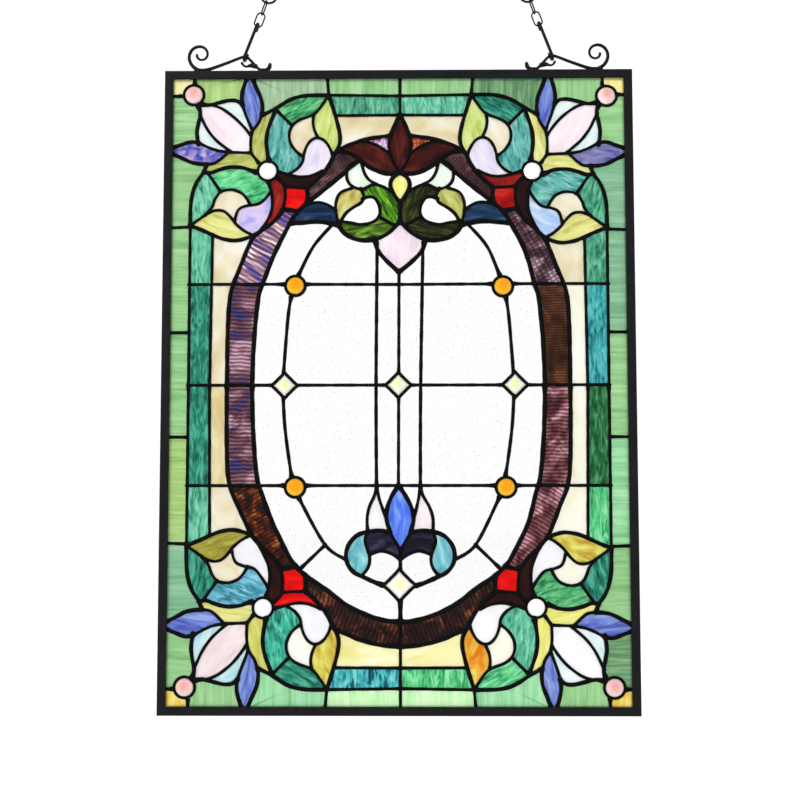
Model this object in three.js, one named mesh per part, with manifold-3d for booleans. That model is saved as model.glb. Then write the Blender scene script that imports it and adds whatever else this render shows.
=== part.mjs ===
// Hanging stained glass window: a framed panel of copper-foiled glass on two chains.
// Millimetres, +Z up. The panel stands in the XZ plane and its front faces -Y.
// The origin lies midway between the crowns of the two rings that the chains hang by.
import * as THREE from "three";
import { mergeVertices } from "three/addons/utils/BufferGeometryUtils.js";
import Module from "manifold-3d";

const wasm = await Module();
wasm.setup();

// Panel and frame
const panelWidth = 457;
const panelHeight = 622;
const frameFace = 8.5;
const frameDepth = 9.6;
const grooveDepth = 4;
const fitGap = 0.3;

// Glass, solder seams and the edge foil that runs round inside the frame groove
const glassThickness = 3;
const seamDepth = 5.6;
const boldSeam = 4.6;
const lineSeam = 3.2;
const veinSeam = 3.4;
const edgeFoil = 2.4;
const bezelWidth = 2.8;
const curveTolerance = 1.5;

// Jewels
const pinkJewelRadius = 8.6;
const whiteJewelRadius = 8.3;
const amberJewelRadius = 8.4;
const jewelRise = 2.6;
const jewelSides = 10;
const smallStarReach = 11.4;
const largeStarReach = 14.6;
const starSteps = 16;
const starCurve = 0.8;
const jewelGirdle = 0.6;
const starRise = 1.6;

// Hangers, hooks and chains
const wireSides = 5;
const hangerWire = 3.2;
const hangerPeakInset = 78.5;
const hangerPeakHeight = 15.5;
const scrollRadius = 15.2;
const scrollCore = 0.27;
const scrollTurn = 450;
const scrollSpread = 1.8;
const scrollSteps = 14;
const footRise = 2.6;
const footWidth = 6;
const footLengths = { outer: 13, inner: 9 };
const footPlaces = { outer: -44, inner: 17.5 };
const curlWire = 2.6;
const hookWire = 3;
const hookReach = 32;
const hookTipLength = 3;
const hookSlack = 0.6;
const chainTilt = 20;
const linkWire = 1.5;
const linkLength = 14.5;
const linkWidth = 8;
const endRingRadius = 8;
const endRingWire = 2.2;

// How far the hand-made motifs lie from true mirror images
const motifShift = 3.5;
const scrollShift = { upperLeft: 0, upperRight: 3, lowerLeft: 6.5, lowerRight: 4 };
const simplifyTolerance = 0.05;

const halfWidth = panelWidth / 2;
const halfHeight = panelHeight / 2;
const seamFront = -seamDepth / 2;
const glassFront = -glassThickness / 2;

const palette = {
  metal: [0x1c1c1e, 0.45, 0.8],
  solder: [0x222224, 0.5, 0.7],
  border: [0xa5d896, 0.3, 0],
  flower: [0xe6ecf5, 0.25, 0],
  scrollwork: [0x4fb79c, 0.25, 0],
  field: [0xdcd8b4, 0.3, 0],
  ring: [0x5a3038, 0.35, 0],
  maroon: [0x5a1010, 0.3, 0],
  green: [0x5a7a20, 0.3, 0],
  yellow: [0xf8ee88, 0.25, 0],
  pink: [0xf6e4ee, 0.25, 0],
  clear: [0xe8eeee, 0.1, 0],
  blue: [0x5f8cf0, 0.25, 0],
  amber: [0xf5a018, 0.1, 0],
  rose: [0xeb9c92, 0.1, 0],
  white: [0xf4f6f6, 0.1, 0],
};

function paint(name) {
  const [color, roughness, metalness] = palette[name];
  return new THREE.MeshStandardMaterial({ color, roughness, metalness });
}

// Solids
function solid(geometry) {
  const bare = geometry.clone();
  bare.deleteAttribute("normal");
  bare.deleteAttribute("uv");
  const merged = mergeVertices(bare, 1e-4);
  return new wasm.Manifold(new wasm.Mesh({
    numProp: 3,
    vertProperties: new Float32Array(merged.attributes.position.array),
    triVerts: new Uint32Array(merged.index.array),
  }));
}

function joined(solids) {
  if (solids.length === 1) return solids[0];
  const middle = Math.ceil(solids.length / 2);
  return joined(solids.slice(0, middle)).add(joined(solids.slice(middle)));
}

function toGeometry(body) {
  const mesh = body.asOriginal().simplify(simplifyTolerance).getMesh();
  const geometry = new THREE.BufferGeometry();
  geometry.setAttribute("position", new THREE.BufferAttribute(new Float32Array(mesh.vertProperties), 3));
  geometry.setIndex(new THREE.BufferAttribute(new Uint32Array(mesh.triVerts), 1));
  geometry.computeVertexNormals();
  return geometry;
}

// A flat outline in the panel's plane, made thick from y = front to y = back
function slab(shape, front, back) {
  const geometry = new THREE.ExtrudeGeometry(shape, { depth: back - front, bevelEnabled: false });
  geometry.rotateX(Math.PI / 2);
  geometry.translate(0, back, 0);
  return solid(geometry);
}

function block(width, depth, height, x, y, z) {
  const geometry = new THREE.BoxGeometry(width, depth, height);
  geometry.translate(x, y, z);
  return solid(geometry);
}

// Drawing of the pattern
const ramp = (value, from, to) => Math.min(Math.max((value - from) / (to - from), 0), 1);

// Where a drawn place really lies. The panel is made by hand: the motifs right of the middle sit
// a little to the right, and three of the side scrolls nearer the middle than a mirror image would.
function at([x, z]) {
  const [across, along] = [Math.abs(x), Math.abs(z)];
  const shift = motifShift * ramp(x, -50, 50) * ramp(x, 155, 120) * ramp(along, 100, 130);
  const corner = (z > 0 ? "upper" : "lower") + (x > 0 ? "Right" : "Left");
  const nearer = scrollShift[corner] * ramp(across, 128, 140) * ramp(along, 262, 222) * ramp(along, 100, 140);
  const placeX = x + shift;
  const placeZ = z - Math.sign(z) * nearer;
  return new THREE.Vector2((placeX * halfWidth) / drawnReach.x, (placeZ * halfHeight) / drawnReach.z);
}

// A smooth curve through a few points, kept to as few chords as the tolerance allows
function smooth(points) {
  const places = points.map(at);
  if (places.length === 2) return places;
  return thinned(new THREE.SplineCurve(places).getPoints((places.length - 1) * 8));
}

function thinned(line) {
  const [first, last] = [line[0], line[line.length - 1]];
  const chord = last.clone().sub(first);
  const length = chord.length();
  let farthest = 0;
  let split = 0;
  for (let i = 1; i < line.length - 1; i++) {
    const away = Math.abs(chord.cross(line[i].clone().sub(first))) / length;
    if (away > farthest) {
      farthest = away;
      split = i;
    }
  }
  if (farthest < curveTolerance) return [first, last];
  return [...thinned(line.slice(0, split + 1)), ...thinned(line.slice(split)).slice(1)];
}

// The same line with both ends drawn out
function lengthened(line, extra) {
  const longer = line.map((point) => point.clone());
  const last = line.length - 1;
  longer[0].add(line[0].clone().sub(line[1]).setLength(extra));
  longer[last].add(line[last].clone().sub(line[last - 1]).setLength(extra));
  return longer;
}

// The outline of a strip of even width along a line
function stripShape(line, width) {
  const half = width / 2;
  const sides = [[], []];
  line.forEach((point, i) => {
    const before = (i > 0 ? point.clone().sub(line[i - 1]) : line[1].clone().sub(point)).normalize();
    const after = (i < line.length - 1 ? line[i + 1].clone().sub(point) : before.clone()).normalize();
    const along = before.clone().add(after).normalize();
    const mitre = half / Math.max(along.dot(before), 0.5);
    const across = new THREE.Vector2(-along.y, along.x).multiplyScalar(mitre);
    sides[0].push(point.clone().add(across));
    sides[1].push(point.clone().sub(across));
  });
  return new THREE.Shape([...sides[0], ...sides[1].reverse()]);
}

function discShape(centre, radius) {
  const points = [];
  for (let i = 0; i < jewelSides; i++) {
    const angle = (i * 2 * Math.PI) / jewelSides;
    points.push(new THREE.Vector2(centre.x + radius * Math.sin(angle), centre.y + radius * Math.cos(angle)));
  }
  return new THREE.Shape(points);
}

// A four-pointed star with sides that curve in
function starPoints(reach, grow = 0) {
  const points = [];
  for (let i = 0; i < starSteps; i++) {
    const angle = (i * 2 * Math.PI) / starSteps;
    const spread = Math.abs(Math.cos(angle)) ** starCurve + Math.abs(Math.sin(angle)) ** starCurve;
    const radius = reach / spread ** (1 / starCurve) + grow;
    points.push(new THREE.Vector2(radius * Math.cos(angle), radius * Math.sin(angle)));
  }
  return points;
}

function starShape(centre, reach, grow = 0) {
  return new THREE.Shape(starPoints(reach, grow).map((point) => point.add(centre)));
}

// Seams of one corner of the panel, drawn at the upper left and mirrored to the other three.
// A bold or line seam parts two pieces of the model, and a vein runs inside one piece.
// Seams that meet a jewel run on under it.
const cornerSeams = {
  bold: [
    // flower
    [[-196, 279], [-186, 277.5], [-177, 279.5], [-166, 282], [-158, 281.5], [-152.5, 277.5]],
    [[-196.5, 278], [-193.8, 269], [-195.5, 260], [-197, 250], [-195.4, 238.4]],
    [[-146, 311], [-152, 294], [-153.5, 284], [-152.5, 277]],
    [[-146, 311], [-139, 294.5], [-134.5, 284], [-133, 274], [-133.8, 267]],
    [[-228.5, 232.5], [-212, 238], [-203, 240.8], [-195, 240]],
    [[-228.5, 232.5], [-212, 225], [-203, 220.8], [-195, 219], [-187, 218.5]],
    [[-119.5, 273.5], [-123.8, 263], [-127.6, 252], [-128.9, 242], [-128, 231], [-126, 220], [-126.5, 214]],
    [[-190, 211], [-183.5, 210], [-175, 213], [-164, 215.6], [-152, 215], [-143, 212], [-138, 210.5],
      [-132, 210.8]],
    // scrollwork
    [[-133.8, 267], [-121, 273.3], [-105, 283], [-90, 286.6], [-68, 287]],
    [[-68, 287], [-61.5, 266.5], [-57.4, 250], [-57, 240], [-60, 231]],
    [[-187, 218.5], [-190.5, 210], [-196, 202], [-200, 192], [-202.3, 178], [-202.5, 158]],
    [[-202.5, 158], [-190, 153], [-178, 147.5], [-168, 144.2], [-156, 143.3], [-141, 147.5]],
    [[-112, 174], [-104, 173], [-98, 171.5]],
    [[-89, 180], [-88.5, 187], [-89, 194.8]],
    // ring
    [[-165.5, 0], [-165, 60], [-162.5, 92], [-154, 116], [-147.5, 133], [-141, 147.5]],
    [[-141, 147.5], [-131, 154.5], [-119, 164], [-112, 174]],
    [[-89, 194.8], [-80, 202.8], [-72.5, 210.5], [-66.5, 219.5], [-63, 227.5], [-60, 231]],
    [[-141, 0], [-140.3, 30], [-138.5, 60], [-135.5, 88], [-131.5, 101], [-120, 131], [-104.5, 162], [-98, 171.5]],
    [[-98, 171.5], [-89, 180]],
  ],
  line: [],
  vein: [
    // flower
    [[-152.5, 277], [-149.5, 268], [-146, 259.5], [-142.8, 252]],
    [[-133.8, 267], [-137, 259], [-142.8, 252]],
    [[-195, 240], [-186, 235.5], [-177, 232.3], [-166, 230.5]],
    [[-187, 218.5], [-179, 219.8], [-172, 225], [-166, 230.5]],
    [[-183, 278], [-172, 273.5], [-160, 264.5], [-151, 255.5], [-144, 247]],
    [[-194.5, 268], [-191, 261], [-186, 252], [-178.5, 242.8], [-171, 236.5], [-163, 230.5]],
    [[-142.8, 252], [-144.3, 242], [-144, 229.8]],
    [[-166, 230.5], [-144, 229.8]],
    [[-144, 229.8], [-136.5, 220]],
    // scrollwork
    [[-119, 272], [-104.5, 257.5]],
    [[-93, 226], [-100, 231.5], [-105.5, 240], [-106.5, 249], [-103.5, 256.8], [-96.5, 262.3], [-82.5, 268],
      [-75, 276.5], [-68, 287]],
    [[-82.5, 268], [-83.3, 260], [-82, 252.5], [-78.5, 244.5]],
    [[-107, 208.5], [-99, 213.5], [-93.7, 220.5], [-92, 229], [-89, 237], [-84.5, 242.5], [-78.5, 244.5],
      [-72, 241.5], [-67, 234.5], [-64, 227]],
    [[-119.5, 211], [-112, 209.5], [-104, 207.3], [-95, 205.8], [-85, 207], [-74, 211.5]],
    [[-120, 206], [-114, 201], [-110.5, 196]],
    [[-110.5, 196], [-110.2, 185], [-112, 174]],
    [[-110.5, 196], [-101, 195.3], [-89, 194.8]],
    [[-127.5, 202.5], [-124.3, 193], [-122.8, 183], [-123.5, 173], [-127, 163.5], [-133.5, 153.5]],
    [[-186.5, 210.5], [-173, 191.3]],
    [[-188, 168.3], [-181.5, 176], [-178.5, 184], [-173, 191.3], [-163, 193.3], [-154, 190.5], [-148.5, 185.5],
      [-144, 178]],
    [[-202.5, 158], [-194, 164], [-186, 169.6], [-178, 172.8], [-170, 172], [-163.5, 166.5], [-157.5, 159],
      [-150, 152.8], [-141, 148]],
    [[-124.3, 191], [-131, 182.8], [-138, 178.8], [-149, 177], [-156, 173], [-159.5, 162]],
    // border and fields
    [[-200, 311], [-199.5, 295]],
    [[-228.5, 286.5], [-213, 286.5]],
    [[-70, 311], [-68, 287]],
    [[-68, 287], [0, 286]],
    [[-61.5, 266.5], [0, 266.8]],
    [[-228.5, 155.5], [-202.5, 156.5]],
    [[-202.5, 158], [-202.5, 0]],
    [[-180.5, 149], [-181, 100], [-182, 0]],
  ],
};

// Seams that are mirrored from left to right only
const sideSeams = {
  bold: [
    // top motif
    [[-89, 180], [-72, 193.5], [-53, 209.5], [-37.5, 222.5]],
    [[-60, 231], [-50, 236.5], [-40, 240.5], [-28, 243.8], [-9, 246.5]],
    [[-9, 246.5], [-5, 257], [0, 268]],
    [[-60, 231], [-48, 229.5], [-37.5, 222.5]],
    [[-37.5, 222.5], [-27, 214.3], [-13, 209], [0, 209.5]],
    [[0, 209.5], [-6.8, 204.5], [-9, 197], [-5.5, 188], [0, 180]],
    [[-58, 159], [-54, 151.8], [-46, 146], [-36, 143.3], [-24, 143.7], [-13, 148.7], [-5, 155.8], [0, 162]],
    [[-24, 143.7], [-20.5, 133], [-12, 122.7], [0, 112]],
    [[-104, 160], [-93, 160.7], [-80, 161.7], [-68, 160.2], [-57.5, 157.5]],
    // bottom motif and ring
    [[0, -94.5], [-6.5, -104.5], [-11.3, -116], [-12.5, -127], [-9.5, -139]],
    [[-9.5, -139], [-19, -137.3], [-30, -138.5], [-40, -142.2], [-47.3, -150.5], [-50, -160], [-48.5, -169],
      [-43, -176.5], [-35, -181], [-22, -187], [-14.5, -189.5]],
    [[-89, -180], [-70, -192.5], [-50, -207.5], [-30, -217.5], [-12, -222.7], [0, -223.5]],
    [[-60, -231], [-50, -235], [-40, -239.5], [-25, -244], [-12, -246.3], [0, -247]],
  ],
  line: [
    [[-132, 100.3], [0, 99.8]],
    [[-141, 2], [0, 2]],
    [[-134, -94.5], [0, -94.5]],
  ],
  vein: [
    // top motif
    [[-9, 246.5], [-10.5, 236], [-7.5, 223], [0, 209.5]],
    [[-36, 242], [-22, 237], [-10, 229]],
    [[-36.5, 221], [-34, 210.5], [-29.5, 203], [-22, 198]],
    [[-34, 193.5], [-25, 198], [-16, 195.8], [-8, 191]],
    [[-37.5, 222.5], [-47.5, 217.3], [-50.3, 208], [-48, 199.5], [-41, 194.3], [-34, 193.5]],
    [[-58, 159], [-60.8, 172], [-60, 183], [-55.5, 190.5], [-45, 194.5]],
    [[-37, 194], [-34.3, 187], [-36.5, 180.5], [-44.5, 175.3], [-51.5, 169.3], [-57, 160]],
    [[-35.5, 184], [-30, 186], [-24, 184.8], [-19.6, 177.5], [-19.2, 168], [-25, 161.5], [-36, 158.6],
      [-46, 160.2], [-57, 162]],
    [[-19.3, 166], [-4, 157]],
    [[-91, 177.5], [-83, 180], [-75, 180.2], [-68, 177.7], [-60.8, 172.5]],
    // clear field
    [[-101.5, 99], [-106, 75], [-109, 40], [-111.5, 2]],
    [[-111.5, 2], [-109.5, -35], [-105, -70], [-100.5, -96]],
    [[-101.5, 99], [-95, 113], [-82, 138], [-63, 160]],
    [[-100.5, -96], [-94, -109], [-70, -151], [-50, -165]],
    [[-70, -151], [-92, -172]],
    [[-21.5, 141], [-21.5, 2], [-21, -94.5]],
    // bottom motif
    [[-21, -94.5], [-23, -104], [-28, -114.5], [-30.5, -126], [-30, -138.5]],
    [[-21, -94.5], [-19, -106], [-15, -119.5], [-9.8, -136]],
    [[-9.5, -139], [-4, -149], [0, -156]],
    [[0, -165], [-9, -159], [-18, -156.8], [-28.5, -160]],
    [[-30, -138.5], [-32.5, -146], [-31.3, -153], [-28.7, -160.5], [-28.5, -168], [-31, -174.5], [-36, -180.5]],
    // fields
    [[-228.5, 53], [-203, 53]],
    [[-228.5, -48], [-203, -48]],
    [[-203, 100], [-132, 100.3]],
    [[-203, 2], [-141, 2]],
    [[-203, -94.5], [-134, -94.5]],
  ],
};

// Seams on the panel's centre line
const middleSeams = {
  bold: [
    [[0, 181], [0, 160]],
    [[0, -204], [0, -224]],
  ],
  line: [[[0, 112], [0, -94.5]]],
  vein: [
    [[0, 311], [0, 267]],
    [[0, -311], [0, -223.5]],
    [[0, -156], [0, -176]],
  ],
};

const seamWidths = { bold: boldSeam, line: lineSeam, vein: veinSeam };

// The drawing reaches from the panel's centre to its edges, and follows the panel's size
const drawnPoints = [cornerSeams, sideSeams, middleSeams].flatMap((table) => Object.values(table).flat(2));
const drawnReach = {
  x: Math.max(...drawnPoints.map((point) => Math.abs(point[0]))),
  z: Math.max(...drawnPoints.map((point) => Math.abs(point[1]))),
};

const mirrored = (points, x, z) => points.map((point) => [point[0] * x, point[1] * z]);

// Every seam of one kind as a thinned line, with its mirror images
function seamLines(kind) {
  const corners = cornerSeams[kind].flatMap((path) => [
    path, mirrored(path, -1, 1), mirrored(path, 1, -1), mirrored(path, -1, -1),
  ]);
  const sides = sideSeams[kind].flatMap((path) => [path, mirrored(path, -1, 1)]);
  return [...corners, ...sides, ...middleSeams[kind]].map(smooth);
}

const seams = Object.fromEntries(Object.keys(seamWidths).map((kind) => [kind, seamLines(kind)]));

// Jewels: where they sit, and what colour they are
const corners = { upper_left: [-1, 1], upper_right: [1, 1], lower_left: [-1, -1], lower_right: [1, -1] };
const roundJewelSets = [
  {
    name: "pink_jewel", radius: pinkJewelRadius, color: "rose",
    places: [[-200.3, 287.6], [203.5, 285.2], [-203, -285], [204, -285]],
  },
  {
    name: "white_jewel", radius: whiteJewelRadius, color: "white",
    places: [[-127.3, 211.8], [127.8, 211], [-129, -211], [128, -210]],
  },
  {
    name: "amber_jewel", radius: amberJewelRadius, color: "amber",
    places: [[-99.8, 98.6], [101.2, 97.7], [-99, -96.1], [103, -96.2]],
  },
];
const roundJewels = roundJewelSets.flatMap(({ name, radius, color, places }) =>
  Object.keys(corners).map((corner, i) => ({ name: name + "_" + corner, place: places[i], radius, color })));
const starJewels = [
  { name: "star_jewel_left", place: [-109.8, 1.7], reach: smallStarReach },
  { name: "star_jewel_middle", place: [0, 2], reach: smallStarReach },
  { name: "star_jewel_right", place: [112.4, 2.2], reach: smallStarReach },
  { name: "star_jewel_bottom", place: [-0.8, -189.2], reach: largeStarReach },
];

function panelRectangle(inset) {
  const [x, z] = [halfWidth - inset, halfHeight - inset];
  return new THREE.Shape([
    new THREE.Vector2(-x, -z), new THREE.Vector2(x, -z), new THREE.Vector2(x, z), new THREE.Vector2(-x, z),
  ]);
}

// The web of solder: through seams from front to back, veins over the front of the glass,
// the edge foil, and a bezel round each jewel
const edgeInset = frameFace - grooveDepth + fitGap;

function pockets(grow, front, back) {
  const rounds = roundJewels.map((jewel) => discShape(at(jewel.place), jewel.radius + grow));
  const stars = starJewels.map((jewel) => starShape(at(jewel.place), jewel.reach, grow));
  return joined([...rounds, ...stars].map((shape) => slab(shape, front, back)));
}

function solderLattice() {
  const through = [...seams.bold, ...seams.line];
  const widths = [...seams.bold.map(() => boldSeam), ...seams.line.map(() => lineSeam)];
  const bars = through.map((line, i) => slab(stripShape(line, widths[i]), seamFront, -seamFront));
  const veins = seams.vein.map((line) => slab(stripShape(line, veinSeam), seamFront, glassFront - fitGap));
  const foil = slab(panelRectangle(edgeInset), seamFront, -seamFront).subtract(
    slab(panelRectangle(edgeInset + edgeFoil), seamFront - 1, 1 - seamFront));
  const bezels = pockets(bezelWidth + fitGap, seamFront, -seamFront);
  const holes = pockets(fitGap, seamFront - 1, 1 - seamFront);
  const face = slab(panelRectangle(edgeInset), seamFront, -seamFront);
  return joined([...bars, ...veins, foil, bezels]).intersect(face).subtract(holes);
}

// The glass sheet, cut apart along the through seams and round the bezels
function glassBodies() {
  const sheet = slab(panelRectangle(edgeInset + edgeFoil + fitGap), glassFront, -glassFront);
  const cuts = ["bold", "line"].flatMap((kind) => seams[kind].map((line) =>
    slab(stripShape(lengthened(line, fitGap), seamWidths[kind] + 2 * fitGap), glassFront - 1, 1 - glassFront)));
  const holes = pockets(bezelWidth + 2 * fitGap, glassFront - 1, 1 - glassFront);
  return sheet.subtract(joined([...cuts, holes])).decompose();
}

// Glass pieces by name, each found by a place that lies on it
const glassPieces = [];
for (const [corner, [x, z]] of Object.entries(corners)) {
  glassPieces.push({ name: "border_glass_" + corner, place: [212 * x, 296 * z], color: "border" });
  glassPieces.push({ name: "flower_glass_" + corner, place: [165 * x, 252 * z], color: "flower" });
  glassPieces.push({ name: "scroll_glass_" + corner, place: [115 * x, 240 * z], color: "scrollwork" });
}
for (const [side, x] of [["left", -1], ["right", 1]]) {
  glassPieces.push({ name: "field_glass_" + side, place: [212 * x, 80], color: "field" });
  glassPieces.push({ name: "ring_glass_" + side, place: [153 * x, 50], color: "ring" });
  glassPieces.push({ name: "ring_glass_upper_" + side, place: [67 * x, 208], color: "ring" });
  glassPieces.push({ name: "spray_glass_" + side, place: [15 * x, 190], color: "green" });
  glassPieces.push({ name: "clear_glass_row_1_" + side, place: [60 * x, 120], color: "clear" });
  glassPieces.push({ name: "clear_glass_row_2_" + side, place: [60 * x, 50], color: "clear" });
  glassPieces.push({ name: "clear_glass_row_3_" + side, place: [60 * x, -50], color: "clear" });
  glassPieces.push({ name: "clear_glass_row_4_" + side, place: [60 * x, -120], color: "clear" });
}
glassPieces.push({ name: "field_glass_top", place: [30, 295], color: "field" });
glassPieces.push({ name: "field_glass_bottom", place: [30, -295], color: "field" });
glassPieces.push({ name: "ring_glass_bottom", place: [30, -232], color: "ring" });
glassPieces.push({ name: "flower_glass_top", place: [0, 240], color: "maroon" });
glassPieces.push({ name: "bud_glass_top", place: [0, 195], color: "yellow" });
glassPieces.push({ name: "shield_glass", place: [0, 135], color: "pink" });
glassPieces.push({ name: "spray_glass_bottom", place: [0, -125], color: "blue" });

function covers(body, place) {
  const { vertProperties: xyz, triVerts: tri } = body.getMesh();
  const corner = (i) => new THREE.Vector2(xyz[3 * tri[i]], xyz[3 * tri[i] + 2]);
  for (let i = 0; i < tri.length; i += 3) {
    if ([0, 1, 2].some((k) => xyz[3 * tri[i + k] + 1] > glassFront / 2)) continue;
    const [a, b, c] = [corner(i), corner(i + 1), corner(i + 2)];
    const turns = [[a, b], [b, c], [c, a]].map(([p, q]) => q.clone().sub(p).cross(place.clone().sub(p)));
    if (turns.every((turn) => turn > 0) || turns.every((turn) => turn < 0)) return true;
  }
  return false;
}

// A round jewel: a low dome in front, a flat back, and its edge in the bezel
function roundJewel(radius) {
  const top = -seamFront + jewelRise;
  const rings = [
    [0, glassFront], [1, glassFront], [1, jewelGirdle], [0.88, top - 0.75 * jewelRise],
    [0.55, top - 0.3 * jewelRise], [0, top],
  ];
  const profile = rings.map(([share, height]) => new THREE.Vector2(radius * share, height));
  const geometry = new THREE.LatheGeometry(profile, jewelSides);
  geometry.rotateX(Math.PI);
  return solid(geometry);
}

// A star jewel: faceted up to a point in the middle, flat at the back
function starJewel(reach) {
  const rim = starPoints(reach);
  const positions = [];
  const apex = [0, seamFront - starRise, 0];
  const back = [0, -glassFront, 0];
  const front = (p) => [p.x, -jewelGirdle, p.y];
  const rear = (p) => [p.x, -glassFront, p.y];
  rim.forEach((p, i) => {
    const q = rim[(i + 1) % rim.length];
    positions.push(...apex, ...front(p), ...front(q));
    positions.push(...front(p), ...rear(p), ...rear(q));
    positions.push(...front(p), ...rear(q), ...front(q));
    positions.push(...back, ...rear(q), ...rear(p));
  });
  const geometry = new THREE.BufferGeometry();
  geometry.setAttribute("position", new THREE.Float32BufferAttribute(positions, 3));
  return solid(mergeVertices(geometry, 1e-4));
}

// Wire work
function wire(points, diameter, steps) {
  const section = [];
  for (let i = 0; i < wireSides; i++) {
    const angle = (i * 2 * Math.PI) / wireSides;
    section.push(new THREE.Vector2((diameter / 2) * Math.cos(angle), (diameter / 2) * Math.sin(angle)));
  }
  const extrudePath = new THREE.CatmullRomCurve3(points, false, "centripetal");
  const shape = new THREE.Shape(section);
  return solid(new THREE.ExtrudeGeometry(shape, { steps, extrudePath, bevelEnabled: false }));
}

// The left hanger, with x and z measured from its peak: a wire that winds out of a scroll,
// rises to the peak and runs down to a short foot. The right one is its mirror image.
function hanger() {
  const bottom = -hangerPeakHeight + hangerWire / 2 + fitGap;
  const points = [];
  const turn = (scrollTurn * Math.PI) / 180;
  for (let i = 0; i <= scrollSteps; i++) {
    const share = i / scrollSteps;
    const angle = -Math.PI / 2 - turn * (1 - share);
    const radius = scrollRadius * (scrollCore + (1 - scrollCore) * share ** scrollSpread);
    points.push([footPlaces.outer + radius * Math.cos(angle), bottom + scrollRadius + radius * Math.sin(angle)]);
  }
  points.push([-36, bottom + 1], [-20, bottom + 6.6], [-6, -1.5], [0, 0], [4.5, -3.5], [11.5, bottom + 2.4]);
  points.push([15, bottom + 0.2], [20, bottom + 0.2], [23, bottom + 2], [24, bottom + 5.5]);
  const rod = wire(points.map(([x, z]) => new THREE.Vector3(x, 0, z)), hangerWire, 32);
  const curl = [[9.5, bottom + 3.6], [3, bottom + 3.6], [-1.8, bottom + 4.4], [-3.4, bottom + 7]];
  const curled = wire(curl.map(([x, z]) => new THREE.Vector3(x, 0, z)), curlWire, 5);
  const footZ = -hangerPeakHeight + fitGap + footRise / 2;
  const outerFoot = block(footLengths.outer, footWidth, footRise, footPlaces.outer, 0, footZ);
  const innerFoot = block(footLengths.inner, footWidth, footRise, footPlaces.inner, 0, footZ);
  return joined([rod, curled, outerFoot, innerFoot]);
}

// The hook, with z along the chain from the hanger wire that it hooks under
const hookBend = (hangerWire + hookWire) / 2 + fitGap + hookSlack;
const upperBend = (linkWire + hookWire) / 2 + fitGap;

function hook() {
  const points = [
    [hookBend, hookTipLength], [hookBend, 0], [hookBend * 0.7, -hookBend * 0.7], [0, -hookBend],
    [-hookBend * 0.7, -hookBend * 0.7], [-hookBend, 0.5], [-hookBend, hookTipLength], [-upperBend, hookReach - 3],
    [-upperBend, hookReach], [-upperBend * 0.7, hookReach + upperBend * 0.7], [0, hookReach + upperBend],
    [upperBend * 0.7, hookReach + upperBend * 0.7], [upperBend, hookReach], [upperBend, hookReach - hookTipLength],
  ];
  return wire(points.map(([y, z]) => new THREE.Vector3(0, y, z)), hookWire, 18);
}

// A ring of wire, pulled out into an oval link when its length is more than its width
function loop(width, length, wireDiameter, segments) {
  const geometry = new THREE.TorusGeometry(width / 2, wireDiameter / 2, wireSides, segments);
  const half = Math.max(length - width, 0) / 2;
  const position = geometry.attributes.position;
  for (let i = 0; i < position.count; i++) {
    const y = position.getY(i);
    if (Math.abs(y) > 1e-3) position.setY(i, y + Math.sign(y) * half);
  }
  geometry.rotateX(Math.PI / 2);
  return geometry;
}

const contact = 0.1;
const secondLinkSeat = hookReach + linkLength - linkWire + contact;
const ringSeat = secondLinkSeat + linkLength - (linkWire + endRingWire) / 2 + contact;
const ringCrown = ringSeat + 2 * endRingRadius;

function chain() {
  const first = loop(linkWidth, linkLength, linkWire, 10);
  first.translate(0, 0, hookReach + linkLength / 2);
  const second = loop(linkWidth, linkLength, linkWire, 10);
  second.rotateZ(Math.PI / 2);
  second.translate(0, 0, secondLinkSeat + linkLength / 2);
  const ring = loop(2 * endRingRadius, 2 * endRingRadius, endRingWire, 12);
  ring.translate(0, 0, ringSeat + endRingRadius);
  return joined([first, second, ring].map(solid));
}

// The frame: a channel all round, open towards the panel
function frame() {
  const outside = slab(panelRectangle(0), -frameDepth / 2, frameDepth / 2);
  const opening = slab(panelRectangle(frameFace), -frameDepth, frameDepth);
  const groove = slab(panelRectangle(frameFace - grooveDepth), seamFront - fitGap, fitGap - seamFront);
  return outside.subtract(opening).subtract(groove);
}

// Assembly: the panel hangs below the origin
const tilt = (chainTilt * Math.PI) / 180;
const panelDrop = ringCrown * Math.cos(tilt) + hangerPeakHeight + halfHeight;
const peak = { x: halfWidth - hangerPeakInset, z: halfHeight + hangerPeakHeight };

const group = new THREE.Group();
const panel = new THREE.Group();
panel.position.z = -panelDrop;
group.add(panel);

function place(parent, name, body, color) {
  const mesh = new THREE.Mesh(toGeometry(body), paint(color));
  mesh.name = name;
  parent.add(mesh);
  return mesh;
}

place(panel, "frame", frame(), "metal");
place(panel, "solder_lattice", solderLattice(), "solder");

const bodies = glassBodies();
for (const piece of glassPieces) {
  const seed = at(piece.place);
  const body = bodies.find((candidate) => covers(candidate, seed));
  if (!body) throw new Error("no glass at " + piece.name);
  place(panel, piece.name, body, piece.color);
}

for (const jewel of roundJewels) {
  const mesh = place(panel, jewel.name, roundJewel(jewel.radius), jewel.color);
  const spot = at(jewel.place);
  mesh.position.set(spot.x, 0, spot.y);
}
for (const jewel of starJewels) {
  const mesh = place(panel, jewel.name, starJewel(jewel.reach), "yellow");
  const spot = at(jewel.place);
  mesh.position.set(spot.x, 0, spot.y);
}

for (const [side, sign] of [["left", -1], ["right", 1]]) {
  const hung = new THREE.Group();
  hung.position.set(sign * peak.x, 0, peak.z);
  panel.add(hung);
  const scroll = sign < 0 ? hanger() : hanger().mirror([1, 0, 0]);
  place(hung, "hanger_" + side, scroll, "metal");
  const leaning = new THREE.Group();
  leaning.rotation.y = -sign * tilt;
  hung.add(leaning);
  place(leaning, "hook_" + side, hook(), "metal");
  place(leaning, "chain_" + side, chain(), "metal");
}

export default group;
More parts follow.
